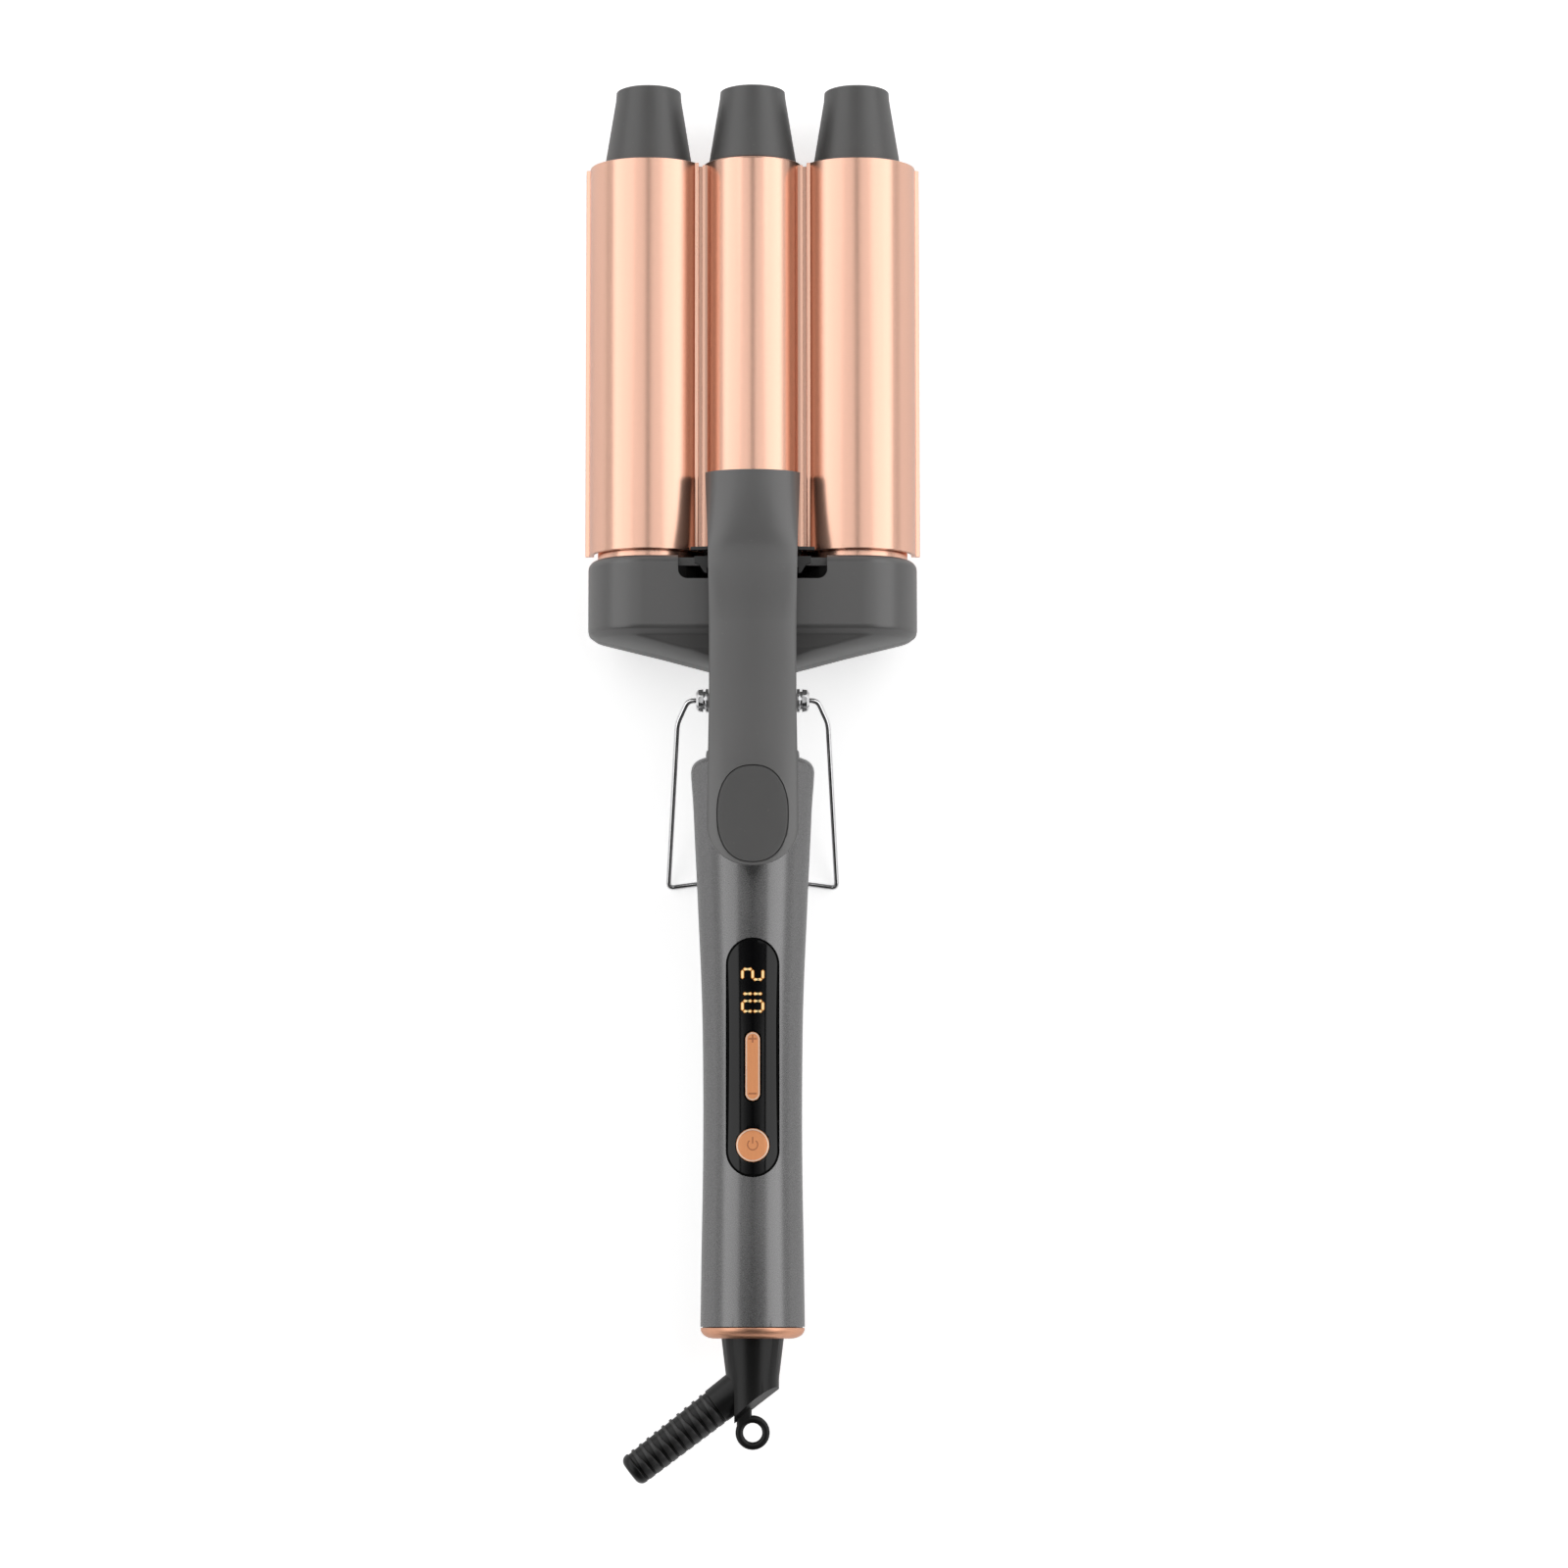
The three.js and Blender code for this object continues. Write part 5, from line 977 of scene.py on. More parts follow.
def jaw_bracket():
    arm = BARREL_PITCH - WING_OUTER + BRACKET_ARM
    front, rear = JAW_START + BRACKET_THICKNESS, JAW_START
    spigot = BARREL_BORE - GAP
    disc = turned([
        (3, rear), (BARREL_RADIUS - 0.4, rear), (BARREL_RADIUS - 0.4, front), (spigot, front), (spigot, front + 5),
        (spigot - 2, front + 5), (spigot - 2, front), (3, front),
    ], 0, MIDDLE_RAISE)
    arm_top = BRACKET_FOOT + BRACKET_ARM_DEPTH

    def both_sides(half):
        return [*half, *[(-x, other) for x, other in reversed(half)]]

    web = prism_y(both_sides([
        (arm, BRACKET_FOOT), (arm, arm_top), (LEVER_HALF_WIDTH + 1, arm_top + 0.8),
        (LEVER_HALF_WIDTH, arm_top + 2.4), (LEVER_HALF_WIDTH, PLATE_TOP),
    ]), (rear, front))
    edge = LEVER_HALF_WIDTH + 0.7
    tab_rear = TAB_FRONT - TAB_LENGTH
    plate = prism_z(both_sides([
        (LEVER_HALF_WIDTH, front), (LEVER_HALF_WIDTH, TAB_FRONT), (edge + TAB_REACH, TAB_FRONT),
        (edge + TAB_REACH - 0.1, TAB_FRONT - 2), (edge + TAB_REACH * 0.6, TAB_FRONT - TAB_LENGTH / 2),
        (edge + 0.8, tab_rear + 0.2), (edge, tab_rear), (edge, PLATE_REAR), (LEVER_HALF_WIDTH, PLATE_REAR),
    ]), (PLATE_BOTTOM, PLATE_TOP))
    lead_hole = block((-2, 2), (rear - 1, front + 6), (MIDDLE_RAISE - 2, PLATE_BOTTOM - 3))
    piece = carved(disc, joins=[web, plate], cuts=[lead_hole])
    finished(piece, "jaw_bracket_plate", "clamp", BRACKET_STEEL, ["jaw_bracket"], bevel=0.25)


# Lever and thumb pad

lever_top = smooth_line([
    (LEVER_FRONT + 6, MIDDLE_TOP + 2.3), (LEVER_FRONT, MIDDLE_TOP + 2.8), (LEVER_FRONT - 18, MIDDLE_TOP + 6.3),
    (JAW_START, PLATE_TOP + 5.8), (-HEAD_LENGTH, PLATE_TOP + 7), (PIVOT_Y, PIVOT_Z + 24.6),
    (HANDLE_FRONT, PIVOT_Z + 27), (-80, PIVOT_Z + 31.2), (LEVER_REAR, PIVOT_Z + 37.8),
    (LEVER_REAR - 10, PIVOT_Z + 41),
])
lever_crown = smooth_line([
    (LEVER_FRONT, 7.2), (LEVER_FRONT - 13, 5.2), (JAW_START, 2.6), (-HEAD_LENGTH, 2.7), (PIVOT_Y, 2.5),
    (-80, 2.8), (LEVER_REAR, 2.9),
])
lever_width = smooth_line([(y, LEVER_HALF_WIDTH + wider) for y, wider in (
    (LEVER_FRONT, 1.35), (LEVER_FRONT - 13, 0.85), (JAW_START, 0.45), (-14, 0.15), (PIVOT_Y, 0), (-80, 0.5),
    (LEVER_REAR, 0.6),
)])
LEVER_SKIRT = eased([
    (LEVER_FRONT, VALLEY_HEIGHT + 1), (JAW_START + 2.2, VALLEY_HEIGHT + 3), (JAW_START + 1.4, PLATE_TOP + GAP),
    (PLATE_REAR - 0.4, PLATE_TOP + GAP), (PLATE_REAR - 1.4, HEAD_HALF_DEPTH + 0.6),
    (-HEAD_LENGTH, HEAD_HALF_DEPTH + 0.6), (-27, HEAD_HALF_DEPTH - 1.2), (TAPER_END + 1, NECK_HALF_HEIGHT + 2.4),
    (PIVOT_Y + 8.6, NECK_HALF_HEIGHT + 0.8), *[(PIVOT_Y + y, PIVOT_Z + z) for y, z in (
        (7, 2), (5, -3), (0, -4.6), (-5, -3.4), (-9, 4), (-13, 13), (-18, 18.8), (-25, 21.6), (-35, 25.2),
    )],
    (LEVER_REAR + 8.8, PIVOT_Z + 29.9), (LEVER_REAR + 4.8, PIVOT_Z + 32), (LEVER_REAR, PIVOT_Z + 34.4),
], 2.4, least=8)
lever_skirt = smooth_line(LEVER_SKIRT, smooth=False)


def crown_drop(x, half_width, crown):
    """How much lower the lever's rounded top is at x than in its middle; at its edge, the whole crown."""
    across = min(abs(x) / half_width, 1)
    return crown * (1 - math.sqrt(1 - CROWN_ROUNDNESS * across ** 2)) / (1 - math.sqrt(1 - CROWN_ROUNDNESS))


def lever_ring(y, half_width, inset, bottom):
    xs = [half_width * math.sin(math.radians(a)) for a in np.linspace(-90, 90, 25)]
    crown = lever_crown(y) * min(1, half_width / lever_width(y)) ** 2
    top = [(x, y, lever_top(y) - inset - crown_drop(x, half_width, crown)) for x in xs]
    low = [(x, y, min(bottom, z - 0.4)) for x, _, z in (top[-1], top[0])]
    return [*top, *low]


def lever_skin(inset, rear):
    rings = []

    def add(place, y, narrowing=1.0):
        bottom = -NECK_HALF_HEIGHT if inset else lever_skirt(y)
        rings.insert(place, lever_ring(y, (lever_width(y) - inset) * narrowing, inset, bottom))

    round_start = rear + LEVER_ROUND
    for y in sorted({*[y for y, _ in LEVER_SKIRT], *np.arange(round_start, LEVER_FRONT, 3.0)}):
        if y > round_start:
            add(len(rings), y)
    for share in np.sin(np.radians(np.linspace(0, 87, 20))):
        add(0, round_start - share * LEVER_ROUND, math.sqrt(1 - share ** 2))
    return skin(rings)


def pad_outline(grow, steps=72):
    centre, reach = (PAD_FRONT + PAD_REAR) / 2, (PAD_FRONT - PAD_REAR) / 2 + grow
    points = []
    for i in range(steps):
        angle = 2 * math.pi * i / steps
        u, v = math.cos(angle), math.sin(angle)
        points.append((math.copysign(abs(u) ** PAD_SQUARENESS, u) * (PAD_HALF_WIDTH + grow),
                       centre + math.copysign(abs(v) ** PAD_SQUARENESS, v) * reach))
    return points


def pad_height(x, y, depth):
    return lever_top(y) - crown_drop(x, lever_width(y), lever_crown(y)) - depth


def thumb_pad():
    centre_y = (PAD_FRONT + PAD_REAR) / 2
    outline = pad_outline(0)

    def ring(share, depth):
        spots = [(x * share, centre_y + (y - centre_y) * share) for x, y in outline]
        return [(x, y, pad_height(x, y, depth)) for x, y in spots]

    dish = [ring(share, PAD_STEP + PAD_DISH * (1 - share ** 2) ** 1.5)
            for share in (0.2, 0.4, 0.6, 0.75, 0.86, 0.93)]
    pole = [(0, centre_y, pad_height(0, centre_y, PAD_STEP + PAD_DISH))]
    edge = [ring(0.965, 0.13), ring(0.988, 0.2), ring(1, 0.42)]
    foot = (0, centre_y, pad_height(0, centre_y, PAD_THICKNESS))
    back = [ring(1, PAD_THICKNESS), ring(0.5, PAD_THICKNESS), [foot]]
    finished(skin([pole, *dish, *edge, *back]), "thumb_pad_disc", "clamp", PAD_GREY,
             ["thumb_pad"], sharp=40)


def lever():
    above_head = block((-40, 40), (LEVER_REAR - 1, -6), (-40, 90))
    hollow = carved(lever_skin(LEVER_WALL, LEVER_REAR + LEVER_WALL), keeps=[above_head])
    bed = rod(BARREL_RADIUS + GAP, (JAW_START - 1, LEVER_FRONT + 9), "y", 96, z=MIDDLE_RAISE)
    pin_hole = rod(HINGE_HOLE, (-30, 30), "x", **PIVOT)
    holes = [rod(SCREW_RADIUS + GAP, (MIDDLE_TOP - 4, MIDDLE_TOP + 1.5), y=y) for y in SADDLE_SCREWS_Y]
    lowered = lever_skin(0, LEVER_REAR)
    lowered.data.transform(Matrix.Translation((0, 0, -PAD_THICKNESS - GAP)))
    recess = carved(prism_z(pad_outline(PAD_SEAM), (PIVOT_Z, PIVOT_Z + 60)), cuts=[lowered])
    piece = carved(lever_skin(0, LEVER_REAR), cuts=[hollow, bed, pin_hole, *holes, recess])
    finished(piece, "clamp_lever", "clamp", SOFT_GREY, ["lever_cover"], bevel=0.22, limit=48)
    thumb_pad()


# Hinge, spring and stand

def hinge():
    reach = NUT_INNER + 1.6
    pin = rod(PIN_RADIUS, (-reach, reach), "x", **PIVOT)
    sockets = [rod(STAND_WIRE + GAP, span, "x", **PIVOT) for span in ((-30, -reach + 2.2), (reach - 2.2, 30))]
    finished(carved(pin, cuts=sockets), "hinge_rod", "handle", ZINC, ["hinge_pin"], bevel=0.1)
    flange_half = [
        (HINGE_HOLE, NUT_INNER), (NUT_RADIUS + 0.3, NUT_INNER), (NUT_RADIUS + 0.3, NUT_INNER + 0.9),
        (NUT_RADIUS - 0.5, NUT_INNER + 1), (NUT_RADIUS - 0.5, NUT_INNER + 2), (HINGE_HOLE, NUT_INNER + 1.9),
    ]
    dome_half = [(0, NUT_INNER), (NUT_RADIUS + 0.4, NUT_INNER), (NUT_RADIUS, NUT_OUTER - 0.7),
                 (NUT_RADIUS - 0.9, NUT_OUTER), (0, NUT_OUTER)]
    for side, sign in SIDES:
        def across(radius, inner, outer, sides=48):
            return rod(radius, sorted((sign * inner, sign * outer)), "x", sides, **PIVOT)

        flange = turned(eased([(r, sign * x) for r, x in flange_half], 0.15, closed=True), axis="x", **PIVOT)
        dome = turned([(r, sign * x) for r, x in dome_half], axis="x", **PIVOT)
        cap = carved(across(NUT_RADIUS + 0.5, NUT_INNER + 1.7, NUT_OUTER, 6), keeps=[dome])
        bore = across(HINGE_HOLE, NUT_INNER - 1, reach + GAP)
        wire_hole = across(STAND_WIRE + GAP, NUT_INNER - 1, NUT_OUTER + 1)
        piece = carved(cap, joins=[flange], cuts=[bore, wire_hole])
        finished(piece, f"nut_{side}", "handle", NICKEL, [f"pin_nut_{side}"], bevel=0.12)


def spring_path():
    width = SPRING_TURNS * SPRING_PITCH
    turns = SPRING_TURNS + 0.25
    path = [(-width / 2, PIVOT_Y - SPRING_LEG * (1 - i / 6), PIVOT_Z - SPRING_RADIUS) for i in range(6)]
    steps = int(turns * 32)
    for i in range(steps + 1):
        share = i / steps
        angle = -math.pi / 2 + share * turns * 2 * math.pi
        path.append(((share - 0.5) * width, PIVOT_Y + SPRING_RADIUS * math.cos(angle),
                     PIVOT_Z + SPRING_RADIUS * math.sin(angle)))
    path += [(width / 2, PIVOT_Y + SPRING_RADIUS, PIVOT_Z + SPRING_UPPER_LEG * i / 6) for i in range(1, 7)]
    return path


def spring_and_stand():
    spring = swept(spring_path(), SPRING_WIRE, 12)
    finished(spring, "closing_spring", "handle", ZINC, ["torsion_spring"])
    bar_z = -HEAD_HALF_DEPTH + STAND_WIRE + 0.05
    bar_y = PIVOT_Y - STAND_REACH

    def half(sign):
        return [
            (sign * (NUT_INNER + 1), PIVOT_Y, PIVOT_Z), (sign * STAND_ELBOW_X, PIVOT_Y, PIVOT_Z),
            (sign * (STAND_ELBOW_X + 3.4), PIVOT_Y - 7, PIVOT_Z - 3), (sign * STAND_CORNER_X, bar_y, bar_z),
            (sign * 17.5, bar_y + 1.3, bar_z),
        ]

    path = eased([*half(-1), *reversed(half(1))], 2, steps=8, least=4)
    finished(swept(path, STAND_WIRE, 20), "stand_frame", "stand", CHROME, ["stand_wire"])


# Handle, ring, panel and keys

HANDLE_OUTLINE = [(HANDLE_FRONT - back, radius) for back, radius in (
    (4.2, HANDLE_SHOULDER), (14, 19.0), (26.5, 18.4), (39.3, 17.75), (51.7, 17.2), (64.2, 16.6), (79, 16.05),
    (97, HANDLE_WAIST), (132, HANDLE_WAIST), (156, HANDLE_WAIST + 0.4), (HANDLE_LENGTH, HANDLE_END),
)]
handle_radius = smooth_line([(HANDLE_FRONT + 2, HANDLE_SHOULDER), *HANDLE_OUTLINE])


def handle_core(grow, segments=144, step=4.0):
    flat = HANDLE_SHOULDER - HANDLE_NOSE_ROUND - 0.1
    nose = [(flat + HANDLE_NOSE_ROUND * math.sin(a), HANDLE_FRONT - HANDLE_NOSE_DEPTH * (1 - math.cos(a)))
            for a in np.radians(np.linspace(0, 88, 10))]
    ys = [*np.arange(HANDLE_FRONT - 4.4, HANDLE_REAR + 1, -step), HANDLE_REAR]
    return turned([(0, HANDLE_FRONT), *[(r + grow, y) for r, y in nose],
                   *[(handle_radius(y) + grow, y) for y in ys], (0, HANDLE_REAR)], segments=segments)


def handle_screw_seat(y):
    radius = np.interp(-y, [-place for place, _ in HANDLE_OUTLINE], [radius for _, radius in HANDLE_OUTLINE])
    return HANDLE_SCREW_SEAT - float(radius)


def handle_shells():
    inner_front = HANDLE_FRONT - HANDLE_FRONT_WALL
    hollow = turned([
        (0, inner_front), (handle_radius(inner_front) - HANDLE_WALL - 1, inner_front),
        *[(r - HANDLE_WALL, min(y, inner_front - 1)) for y, r in HANDLE_OUTLINE],
        (HANDLE_END - HANDLE_WALL, HANDLE_REAR - 1), (0, HANDLE_REAR - 1),
    ], segments=72)
    spigot_hole = rod(SPIGOT_RADIUS + GAP, (inner_front - 1, HANDLE_FRONT + 1), "y", 72)
    lower = carved(handle_core(0), cuts=[hollow, spigot_hole])
    ys = (HANDLE_REAR - 5, HANDLE_FRONT + 5)
    upper = loose(lower.data.copy())
    carved(upper, keeps=[block((-FAR, FAR), ys, (SPLIT / 2, FAR))])
    window = prism_z(stadium(PANEL_HALF_WIDTH + GAP, PANEL_HALF_LENGTH + GAP, PANEL_CENTRE), (0, FAR))
    carved(upper, cuts=[window])
    carved(lower, keeps=[block((-FAR, FAR), ys, (-FAR, -SPLIT / 2))])
    pilots = [rod(SCREW_RADIUS + GAP, (-FAR, 1), y=y) for y in HANDLE_SCREWS_Y]
    heads = [rod(SCREW_HEAD_RADIUS + GAP, (-FAR, handle_screw_seat(y)), y=y) for y in HANDLE_SCREWS_Y]
    bosses = [rod(HANDLE_BOSS_RADIUS, (-FAR, -SPLIT / 2), y=y) for y in HANDLE_SCREWS_Y]
    for boss in bosses:
        carved(boss, keeps=[handle_core(-HANDLE_WALL / 2, 48, 12)])
    carved(lower, joins=bosses)
    carved(lower, cuts=[*pilots, *heads])
    for piece, side in ((upper, "upper"), (lower, "lower")):
        finished(piece, f"handle_{side}", "handle", HANDLE_PAINT, [f"handle_{side}_shell"],
                 bevel=0.15, limit=50)


def end_ring():
    spigot = HANDLE_END - HANDLE_WALL - 1.5 * GAP
    front = HANDLE_REAR - GAP
    rear = front - END_RING_LENGTH
    outer, edge = HANDLE_END - 0.1, front - 0.4
    dome = [(outer - END_RING_FALL * (1 - math.cos(a)), edge + (rear - edge) * math.sin(a))
            for a in np.radians(np.linspace(0, 90, 14))]
    recess, step = RELIEF_CONE_FRONT + GAP, rear + RELIEF_RECESS + GAP
    inner = HANDLE_REAR + END_SPIGOT
    outline = eased([
        (RELIEF_BORE, inner), (spigot, inner), (spigot, front), (outer, front),
        *dome, (recess, rear), (recess, step), (RELIEF_BORE, step),
    ], 0.2, closed=True)
    finished(turned(outline, segments=128), "rose_end_ring", "handle", COPPER_RING, ["end_ring"])
    # A black ring filling the gap between the handle's rear and the end ring: painted shade of that gap.
    low, high, top, foot = spigot - 0.2, HANDLE_END - 0.7, HANDLE_REAR - 0.02, front + 0.02
    gap_shade = turned([(low, top), (high, top), (high, foot), (low, foot)], segments=128)
    finished(gap_shade, "ring_gap_shade", "handle", INNER_BLACK)


def panel_skin(proud, depth, outline):
    shell = carved(handle_core(proud, 192), cuts=[handle_core(-depth, 96, 12)])
    return carved(shell, keeps=[prism_z(outline, (2, 60))])


def display_panel():
    slot = prism_z(stadium(ROCKER_HALF_WIDTH + ROCKER_CLEARANCE, ROCKER_HALF_LENGTH + ROCKER_CLEARANCE,
                           ROCKER_CENTRE), (0, 60))
    hole = rod(POWER_RADIUS + GAP, (0, 60), y=POWER_CENTRE, segments=72)
    pane = panel_skin(PANEL_PROUD, PANEL_DEPTH, stadium(PANEL_HALF_WIDTH, PANEL_HALF_LENGTH, PANEL_CENTRE, 40))
    carved(pane, cuts=[slot, hole])
    finished(pane, "panel_pane", "handle", PANEL_BLACK, ["display_lens"], bevel=0.3, segments=3,
             limit=50)
    # A matte black band round the lens's edge: painted shade of the gap between the lens and the handle.
    inset = PANEL_EDGE / 2
    edge = stadium(PANEL_HALF_WIDTH - inset, PANEL_HALF_LENGTH - inset, PANEL_CENTRE, 40)
    finished(sign_strip([*edge, edge[0]], PANEL_EDGE, 0.015), "panel_edge", "handle", EDGE_SHADE_BLACK)


def on_panel(x, y, lift):
    return math.sqrt((handle_radius(y) + PANEL_PROUD + lift) ** 2 - x * x)


DIGIT_HEIGHT = 7.2
DIGIT_WIDTH = 4.0
BAR_THICKNESS = 0.78
BAR_BREAK = 0.45


def display_digits():
    """Seven-bar figures that read along the handle: their tops point to +x."""
    bars = {
        "a": (0, 1, "across"), "g": (0, 0, "across"), "d": (0, -1, "across"), "f": (-1, 0.5, "up"),
        "b": (1, 0.5, "up"), "e": (-1, -0.5, "up"), "c": (1, -0.5, "up"),
    }
    figures = ((-132.9, "abged"), (-137.4, "bc"), (-142.9, "abcdef"))
    reach_x = DIGIT_HEIGHT / 2 - BAR_THICKNESS / 2
    reach_y = DIGIT_WIDTH / 2 - BAR_THICKNESS / 2
    lengths = {"across": 2 * reach_y - BAR_BREAK, "up": reach_x - BAR_BREAK}
    bm = bmesh.new()
    core = bm.verts.layers.float.new("core")
    for centre, lit in figures:
        for bar in lit:
            side, up, way = bars[bar]
            add_bar(bm, core, up * reach_x, centre - side * reach_y, lengths[way], way)
    finished(loose(bm, merge=False), "display_figures", "handle", AMBER)


def add_bar(bm, core, x, y, length, way):
    half, thick = length / 2, BAR_THICKNESS / 2
    outline = [(-half, 0), (-half + thick, thick), (half - thick, thick), (half, 0), (half - thick, -thick),
               (-half + thick, -thick)]

    def ring(share_long, share_thick, lift, value):
        row = []
        for u, v in outline:
            u, v = u * share_long, v * share_thick
            px, py = (x + v, y + u) if way == "across" else (x + u, y + v)
            vert = bm.verts.new((px, py, on_panel(px, py, lift)))
            vert[core] = value
            row.append(vert)
        return row

    rows = [ring(1.12, 1.5, -0.1, 0.0), ring(1.12, 1.5, 0.015, 0.0), ring(1, 1, 0.02, 0.4),
            ring(0.8, 0.5, 0.025, 1.0)]
    for first, second in zip(rows, rows[1:]):
        for i in range(6):
            j = (i + 1) % 6
            bm.faces.new((first[i], first[j], second[j], second[i]))
    bm.faces.new(rows[0])
    bm.faces.new(rows[-1])


def key_top(outline, foot):
    return carved(prism_z(outline, (foot, 60)), keeps=[handle_core(PANEL_PROUD + KEY_PROUD, 192)])


def keys():
    disc = [(u, POWER_CENTRE + v) for u, v in arc(0, 0, POWER_RADIUS, 0, 360, 96)[:-1]]
    power = key_top(disc, BUTTON_FLANGE_TOP - 0.5)
    dish = rod(POWER_RADIUS - POWER_RIM, (POWER_DISH_FLOOR, 60), y=POWER_CENTRE, segments=72)
    under_dish = carved(handle_core(PANEL_PROUD, 192), keeps=[rod(POWER_RADIUS, (2, 60), y=POWER_CENTRE)])
    carved(power, cuts=[carved(dish, cuts=[under_dish])])
    stem = [rod(POWER_RADIUS + POWER_FLANGE, (BUTTON_FLANGE_TOP - 1, BUTTON_FLANGE_TOP), y=POWER_CENTRE),
            rod(POWER_STEM_RADIUS, (BUTTON_BOTTOM, BUTTON_FLANGE_TOP), y=POWER_CENTRE)]
    carved(power, joins=stem)
    finished(power, "power_key", "power_key", COPPER_KEY, ["power_button"], bevel=0.16)
    plate = key_top(stadium(ROCKER_HALF_WIDTH, ROCKER_HALF_LENGTH, ROCKER_CENTRE, 32),
                    ROCKER_PIVOT_Z - ROCKER_PIVOT_RADIUS)
    feet = [rod(ROCKER_FOOT_RADIUS, (BUTTON_BOTTOM, ROCKER_PIVOT_Z), y=ROCKER_CENTRE + sign * ROCKER_FOOT)
            for sign in (-1, 1)]
    reach = ROCKER_HALF_WIDTH + ROCKER_PIVOT_REACH
    trunnion = rod(ROCKER_PIVOT_RADIUS, (-reach, reach), "x", y=ROCKER_CENTRE, z=ROCKER_PIVOT_Z)
    carved(plate, joins=feet)
    finished(trunnion, "rocker_pivot", "temperature_key", INNER_BLACK, bevel=0.1)
    finished(plate, "rocker_key", "temperature_key", COPPER_KEY, ["temperature_rocker"], bevel=0.16)
    key_signs()


def sign_strip(points, width, lift):
    """A flat line of the given width on the panel's curve, as a closed thin solid."""
    line = [Vector(p) for p in points]
    rings = []
    for i, here in enumerate(line):
        ahead = ahead_at(line, i)
        side = Vector((-ahead.y, ahead.x)) * width / 2
        foot = lift - SIGN_DEPTH
        corners = ((here - side, foot), (here + side, foot), (here + side, lift), (here - side, lift))
        rings.append([(spot.x, spot.y, on_panel(spot.x, spot.y, height)) for spot, height in corners])
    return skin(rings)


def key_signs():
    power_arc = [(POWER_SIGN_RADIUS * math.sin(a), POWER_CENTRE + 0.15 + POWER_SIGN_RADIUS * math.cos(a))
                 for a in np.radians(np.linspace(38, 322, 30))]
    bar = [(0, POWER_CENTRE + 0.5), (0, POWER_CENTRE + 1.5), (0, POWER_CENTRE + 2.6)]
    strokes = [sign_strip(line, POWER_SIGN_STROKE, POWER_SIGN_LIFT) for line in (power_arc, bar)]
    finished(joined(*strokes), "power_sign", "power_key", SIGN_INK)
    plus_y = ROCKER_CENTRE + ROCKER_HALF_LENGTH - 2.1
    minus_y = ROCKER_CENTRE - ROCKER_HALF_LENGTH + 2.2
    strokes = [sign_strip(line, SIGN_STROKE, SIGN_LIFT) for line in (
        [(x, plus_y) for x in (-PLUS_HALF_WIDTH, 0, PLUS_HALF_WIDTH)],
        [(0, plus_y + y) for y in (-PLUS_HALF_LENGTH, 0, PLUS_HALF_LENGTH)],
        [(x, minus_y) for x in (-PLUS_HALF_WIDTH, 0, PLUS_HALF_WIDTH)],
    )]
    finished(joined(*strokes), "rocker_signs", "temperature_key", SIGN_INK)
    # Lighter bands round both keys: partly polished metal, partly a painted highlight along their edges.
    circle = [(x, POWER_CENTRE + y) for x, y in arc(0, 0, POWER_RADIUS - RIM_INSET, 0, 360, 96)]
    oval = stadium(ROCKER_HALF_WIDTH - RIM_INSET, ROCKER_HALF_LENGTH - RIM_INSET, ROCKER_CENTRE, 32)
    for line, key, body in ((circle, "power", "power_key"), ([*oval, oval[0]], "rocker", "temperature_key")):
        finished(sign_strip(line, RIM_WIDTH, RIM_LIFT), f"{key}_rim", body, KEY_RIM_HIGHLIGHT)


# Cord relief

def geometry_group(name, inputs):
    return group(name, {**inputs, "Finish": "Material"}, {"Geometry": "Geometry"}, "GeometryNodeTree")


def repeated(w, given, result, places):
    """Ends a geometry tree with real copies of a shape, at these places and in the given finish."""
    solid = w.add("GeometryNodeRealizeInstances", {"Geometry": w.add("GeometryNodeInstanceOnPoints", places)})
    painted = w.add("GeometryNodeSetMaterial", {"Geometry": solid, "Material": given["Finish"]})
    w.fill(result, {"Geometry": painted})
    return w.tree


def rib_tree():
    """Broad hoops spaced along y, pinched on the +x side so that the grooves open there."""
    w, given, result = geometry_group("tail_ribs", {
        "Count": TAIL_RIBS, "Pitch": RIB_PITCH, "Start": 0.0, "Radius": 6.0, "Shrink": 0.0085,
        "Depth": GROOVE_DEPTH + 0.5, "Width": RIB_PITCH - RIB_GAP, "Pinch": 0.5,
    })
    line = w.add("GeometryNodeMeshLine", {
        "Count": given["Count"], "Offset": w.vector(Y=given["Pitch"]),
        "Start Location": w.vector(Y=given["Start"]),
    })
    middle = w.math("MULTIPLY_ADD", given["Depth"], -0.5, given["Radius"])
    ring = w.add("GeometryNodeCurvePrimitiveCircle", {"Resolution": 72, "Radius": middle})
    section = w.add("GeometryNodeCurvePrimitiveQuadrilateral", {"Width": given["Depth"], "Height": given["Width"]})
    rounded = w.add("GeometryNodeFilletCurve", {"Count": 4, "Radius": 0.2, "Curve": section}, mode="POLY")
    hoop = w.add("GeometryNodeCurveToMesh", {"Curve": ring, "Profile Curve": rounded})
    upright = w.add("GeometryNodeTransform", {"Rotation": (math.pi / 2, 0, 0), "Geometry": hoop})
    spot = w.split(w.add("GeometryNodeInputPosition"))
    side = w.range(w.math("DIVIDE", spot["X"], given["Radius"]), -0.6, 0.9)
    pull = w.math("MULTIPLY", w.math("MULTIPLY", side, given["Pinch"]), spot["Y"])
    shift = w.vector(Y=w.math("MULTIPLY", pull, -1.0))
    pinched = w.add("GeometryNodeSetPosition", {"Geometry": upright, "Offset": shift})
    index = w.add("GeometryNodeInputIndex")
    smaller = w.math("SUBTRACT", 1.0, w.math("MULTIPLY", index, given["Shrink"]))
    scale = w.vector(X=smaller, Y=1.0, Z=smaller)
    return repeated(w, given, result, {"Points": line, "Instance": pinched, "Scale": scale})


